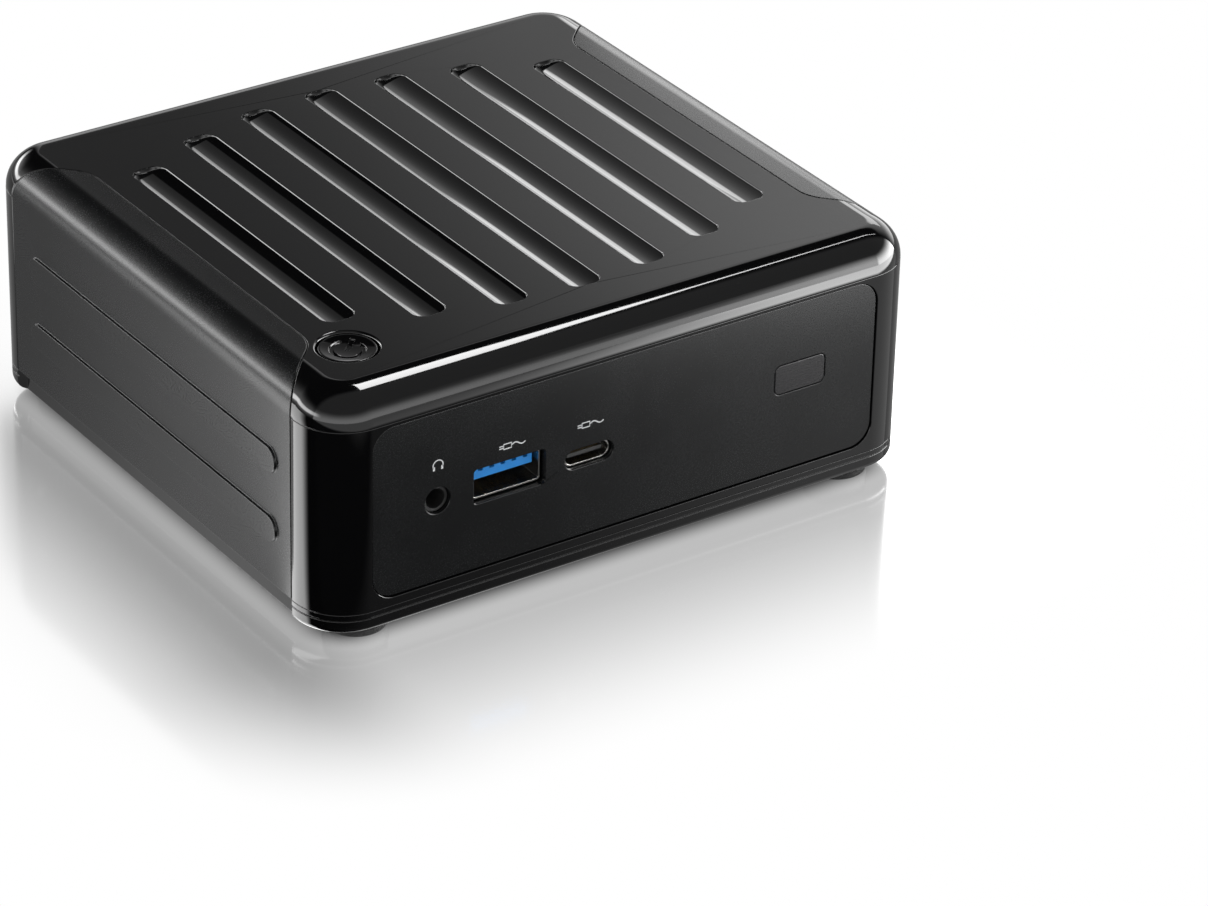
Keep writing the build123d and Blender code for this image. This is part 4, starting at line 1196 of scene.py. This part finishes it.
def world_light(scene):
    """White all round for soft light; polished surfaces see a bright horizon and a dark ceiling."""
    world = bpy.data.worlds.new("studio")
    scene.world = world
    world.use_nodes = True
    world.node_tree.nodes.clear()
    make = NodeMaker(world.node_tree)
    heading = make.add("ShaderNodeTexCoord", output="Generated")
    x, y, z = (axis_of(make, i, heading) for i in range(3))
    back_right = make.between(x * 0.60 + y * 0.80, 0.55, 0.85)
    back_left = make.between(y * 0.72 - x * 0.69, 0.45, 0.8)
    front_right = make.between(x + y * 0.60, -0.03, 0.17) * (y < 0)
    wall = make.between(z, 0.62, 0.56) * back_right * make.between(x, 0.30, 0.42)
    horizon = make.between(z, 0.40, 0.02) * back_right * make.between(x, 0.55, 0.75)
    left_band = make.between(z, 0.70, 0.25) * back_left * make.between(z, -0.02, 0.16, 0.3, 1.0)
    left_core = make.between(z, 0.12, 0.17) * make.between(z, 0.31, 0.25) * back_left
    right_band = make.between(z, 0.5, 0.08)
    above_front = make.between(y, 0.10, -0.10) * make.between(z, 0.2, 0.5) * 0.3
    mirror = (0.01 + wall + horizon * 2.2 + left_band * left_band * 1.6 + left_core * 9.0
              + above_front + right_band * (2.8 + front_right * 13.5) * (y < 0))
    seen = make.add("ShaderNodeLightPath", output="Is Glossy Ray")
    strength = seen * mirror + (1 - seen)
    light = make.add("ShaderNodeBackground", None, {"Color": grey(1.0), "Strength": strength})
    make.add("ShaderNodeOutputWorld", None, {"Surface": light})


def floor_glow(make, x, y):
    """How bright the floor is to polished surfaces: dark towards the camera, bright to both sides."""
    out_front = FRONT_Y - y
    foot_x = x - out_front * FRONT_SLANT
    across = make.between(foot_x, -70 * MM, 60 * MM)
    near = make.between(foot_x, -64 * MM, -50 * MM, 0.01, 0.12) + across * across * 0.62
    far = make.between(out_front, 62 * MM, 95 * MM) * (0.9 + across * across * 10)
    front = near + far
    out_left = -HALF_WIDTH - x
    foot_y = y - out_left * LEFT_SLANT
    side = make.between(foot_y, 60 * MM, -45 * MM, 0.36, 0.95) + make.between(out_left, 0.2, 0.5) * 0.9
    slope = (y - FRONT_Y - 5 * MM) / out_left.maximum(1 * MM)
    corner = make.between(slope, 0.25, 0.7, 0.0, 4.8)
    left = (foot_y > -43 * MM) * side + (foot_y < -43 * MM) * corner
    behind = make.between(x, -10 * MM, 60 * MM)
    return (out_front > 0) * front + (out_front < 0) * (left * (1 - behind) + behind * 0.35)


def floor_material():
    """Pale gloss: white, with a mirror image of the object that fades with distance, and a painted shadow
    under the object.
    """
    make = new_material("pale_floor")
    place = make.place()
    x, y = axis_of(make, 0, place), axis_of(make, 1, place)
    past_x = (x.absolute() - (HALF_WIDTH - CORNER_R)).maximum(0.0)
    past_y = (y.absolute() - (HALF_DEPTH - CORNER_R)).maximum(0.0)
    gap = (past_x * past_x + past_y * past_y).root() - CORNER_R
    share = make.between(x, -HALF_WIDTH + 10 * MM, -HALF_WIDTH - 10 * MM, 0.5, 0.76)
    fade = make.between(gap, 48 * MM, 0.0) * share
    # painted shadow: the floor's glow is black under the object and fades back to white at its edge
    under = make.between(gap, -6 * MM, 0.5 * MM)
    mirror = make.add("ShaderNodeBsdfGlossy", None, {"Color": grey(1.0), "Roughness": 0.12})
    floor = make.add("ShaderNodeMixShader", None, {0: fade, 1: emission(make, under), 2: mirror})
    dim = emission(make, floor_glow(make, x, y))
    path = make.add("ShaderNodeLightPath", output="Is Glossy Ray")
    both = make.add("ShaderNodeMixShader", None, {0: path, 1: floor, 2: dim})
    make.add("ShaderNodeOutputMaterial", None, {"Surface": both})


def put_floor():
    floor_material()
    ends = (-FLOOR_REACH, FLOOR_REACH)
    flat_piece("floor", level_rectangle(ends, ends, 0.0), finish_of("pale_floor"))


def put_camera(scene):
    stage = scene.computer_stage
    turn, lift = stage.azimuth, stage.elevation
    back = Vector((math.sin(turn) * math.cos(lift), -math.cos(turn) * math.cos(lift), math.sin(lift)))
    right = Vector((math.cos(turn), math.sin(turn), 0))
    up = back.cross(right)
    across = right * math.cos(stage.roll) + up * math.sin(stage.roll)
    upward = up * math.cos(stage.roll) - right * math.sin(stage.roll)
    target = Vector((0, 0, TOP_Z / 2))
    spot = target + back * stage.distance + across * stage.aim[0] + upward * stage.aim[1]
    data = bpy.data.cameras.new("camera")
    camera = put("camera", data)
    camera.matrix_world = Matrix((
        (across.x, upward.x, back.x, spot.x),
        (across.y, upward.y, back.y, spot.y),
        (across.z, upward.z, back.z, spot.z),
        (0, 0, 0, 1)))
    data.lens = stage.lens
    data.shift_x, data.shift_y = -0.00123, -0.01851
    scene.camera = camera


class COMPUTER_OT_stage(PieceOperator):
    """Set up the floor, the lights and the camera"""
    bl_idname = "computer.stage"
    bl_label = "Studio"

    def build(self, scene):
        scene.view_settings.view_transform = "Standard"
        put_floor()
        world_light(scene)
        top_card()
        strip_light()
        put_camera(scene)


class COMPUTER_OT_finishes(PieceOperator):
    """Make every finish and give the carried-over pieces theirs"""
    bl_idname = "computer.finishes"
    bl_label = "Finishes"

    def build(self, scene):
        make_materials()
        for name, node in frame["nodes"].items():
            node.data.materials.clear()
            node.data.materials.append(finish_of(slot_of(name)))


class COMPUTER_PT_panel(bpy.types.Panel):
    """Lists the settings and the operators"""
    bl_label = "Desktop computer"
    bl_idname = "COMPUTER_PT_panel"
    bl_space_type = "VIEW_3D"
    bl_region_type = "UI"
    bl_category = "Computer"

    def draw(self, context):
        for group in SETTINGS:
            settings = getattr(context.scene, group)
            for name in settings.bl_rna.properties.keys():
                if name not in ("rna_type", "name"):
                    self.layout.prop(settings, name)
        for operator in OPERATORS:
            self.layout.operator(operator.bl_idname)


SETTINGS = {
    "computer_enclosure": EnclosureSettings,
    "computer_front": FrontSettings,
    "computer_stage": StageSettings,
}
OPERATORS = (
    COMPUTER_OT_finishes,
    COMPUTER_OT_top_cover,
    COMPUTER_OT_side_panels,
    COMPUTER_OT_frame_and_base,
    COMPUTER_OT_front_face,
    COMPUTER_OT_power_button,
    COMPUTER_OT_front_marks,
    COMPUTER_OT_front_sockets,
    COMPUTER_OT_rear,
    COMPUTER_OT_feet,
    COMPUTER_OT_screws,
    COMPUTER_OT_cooling,
    COMPUTER_OT_stage,
)


def register():
    for kind in (*SETTINGS.values(), *OPERATORS, COMPUTER_PT_panel):
        bpy.utils.register_class(kind)
    for name, kind in SETTINGS.items():
        setattr(bpy.types.Scene, name, bpy.props.PointerProperty(type=kind))


def unregister():
    for name in SETTINGS:
        delattr(bpy.types.Scene, name)
    for kind in reversed((*SETTINGS.values(), *OPERATORS, COMPUTER_PT_panel)):
        bpy.utils.unregister_class(kind)


def main():
    register()
    for operator in OPERATORS:
        group, name = operator.bl_idname.split(".")
        getattr(getattr(bpy.ops, group), name)()


if __name__ == "__main__":
    main()
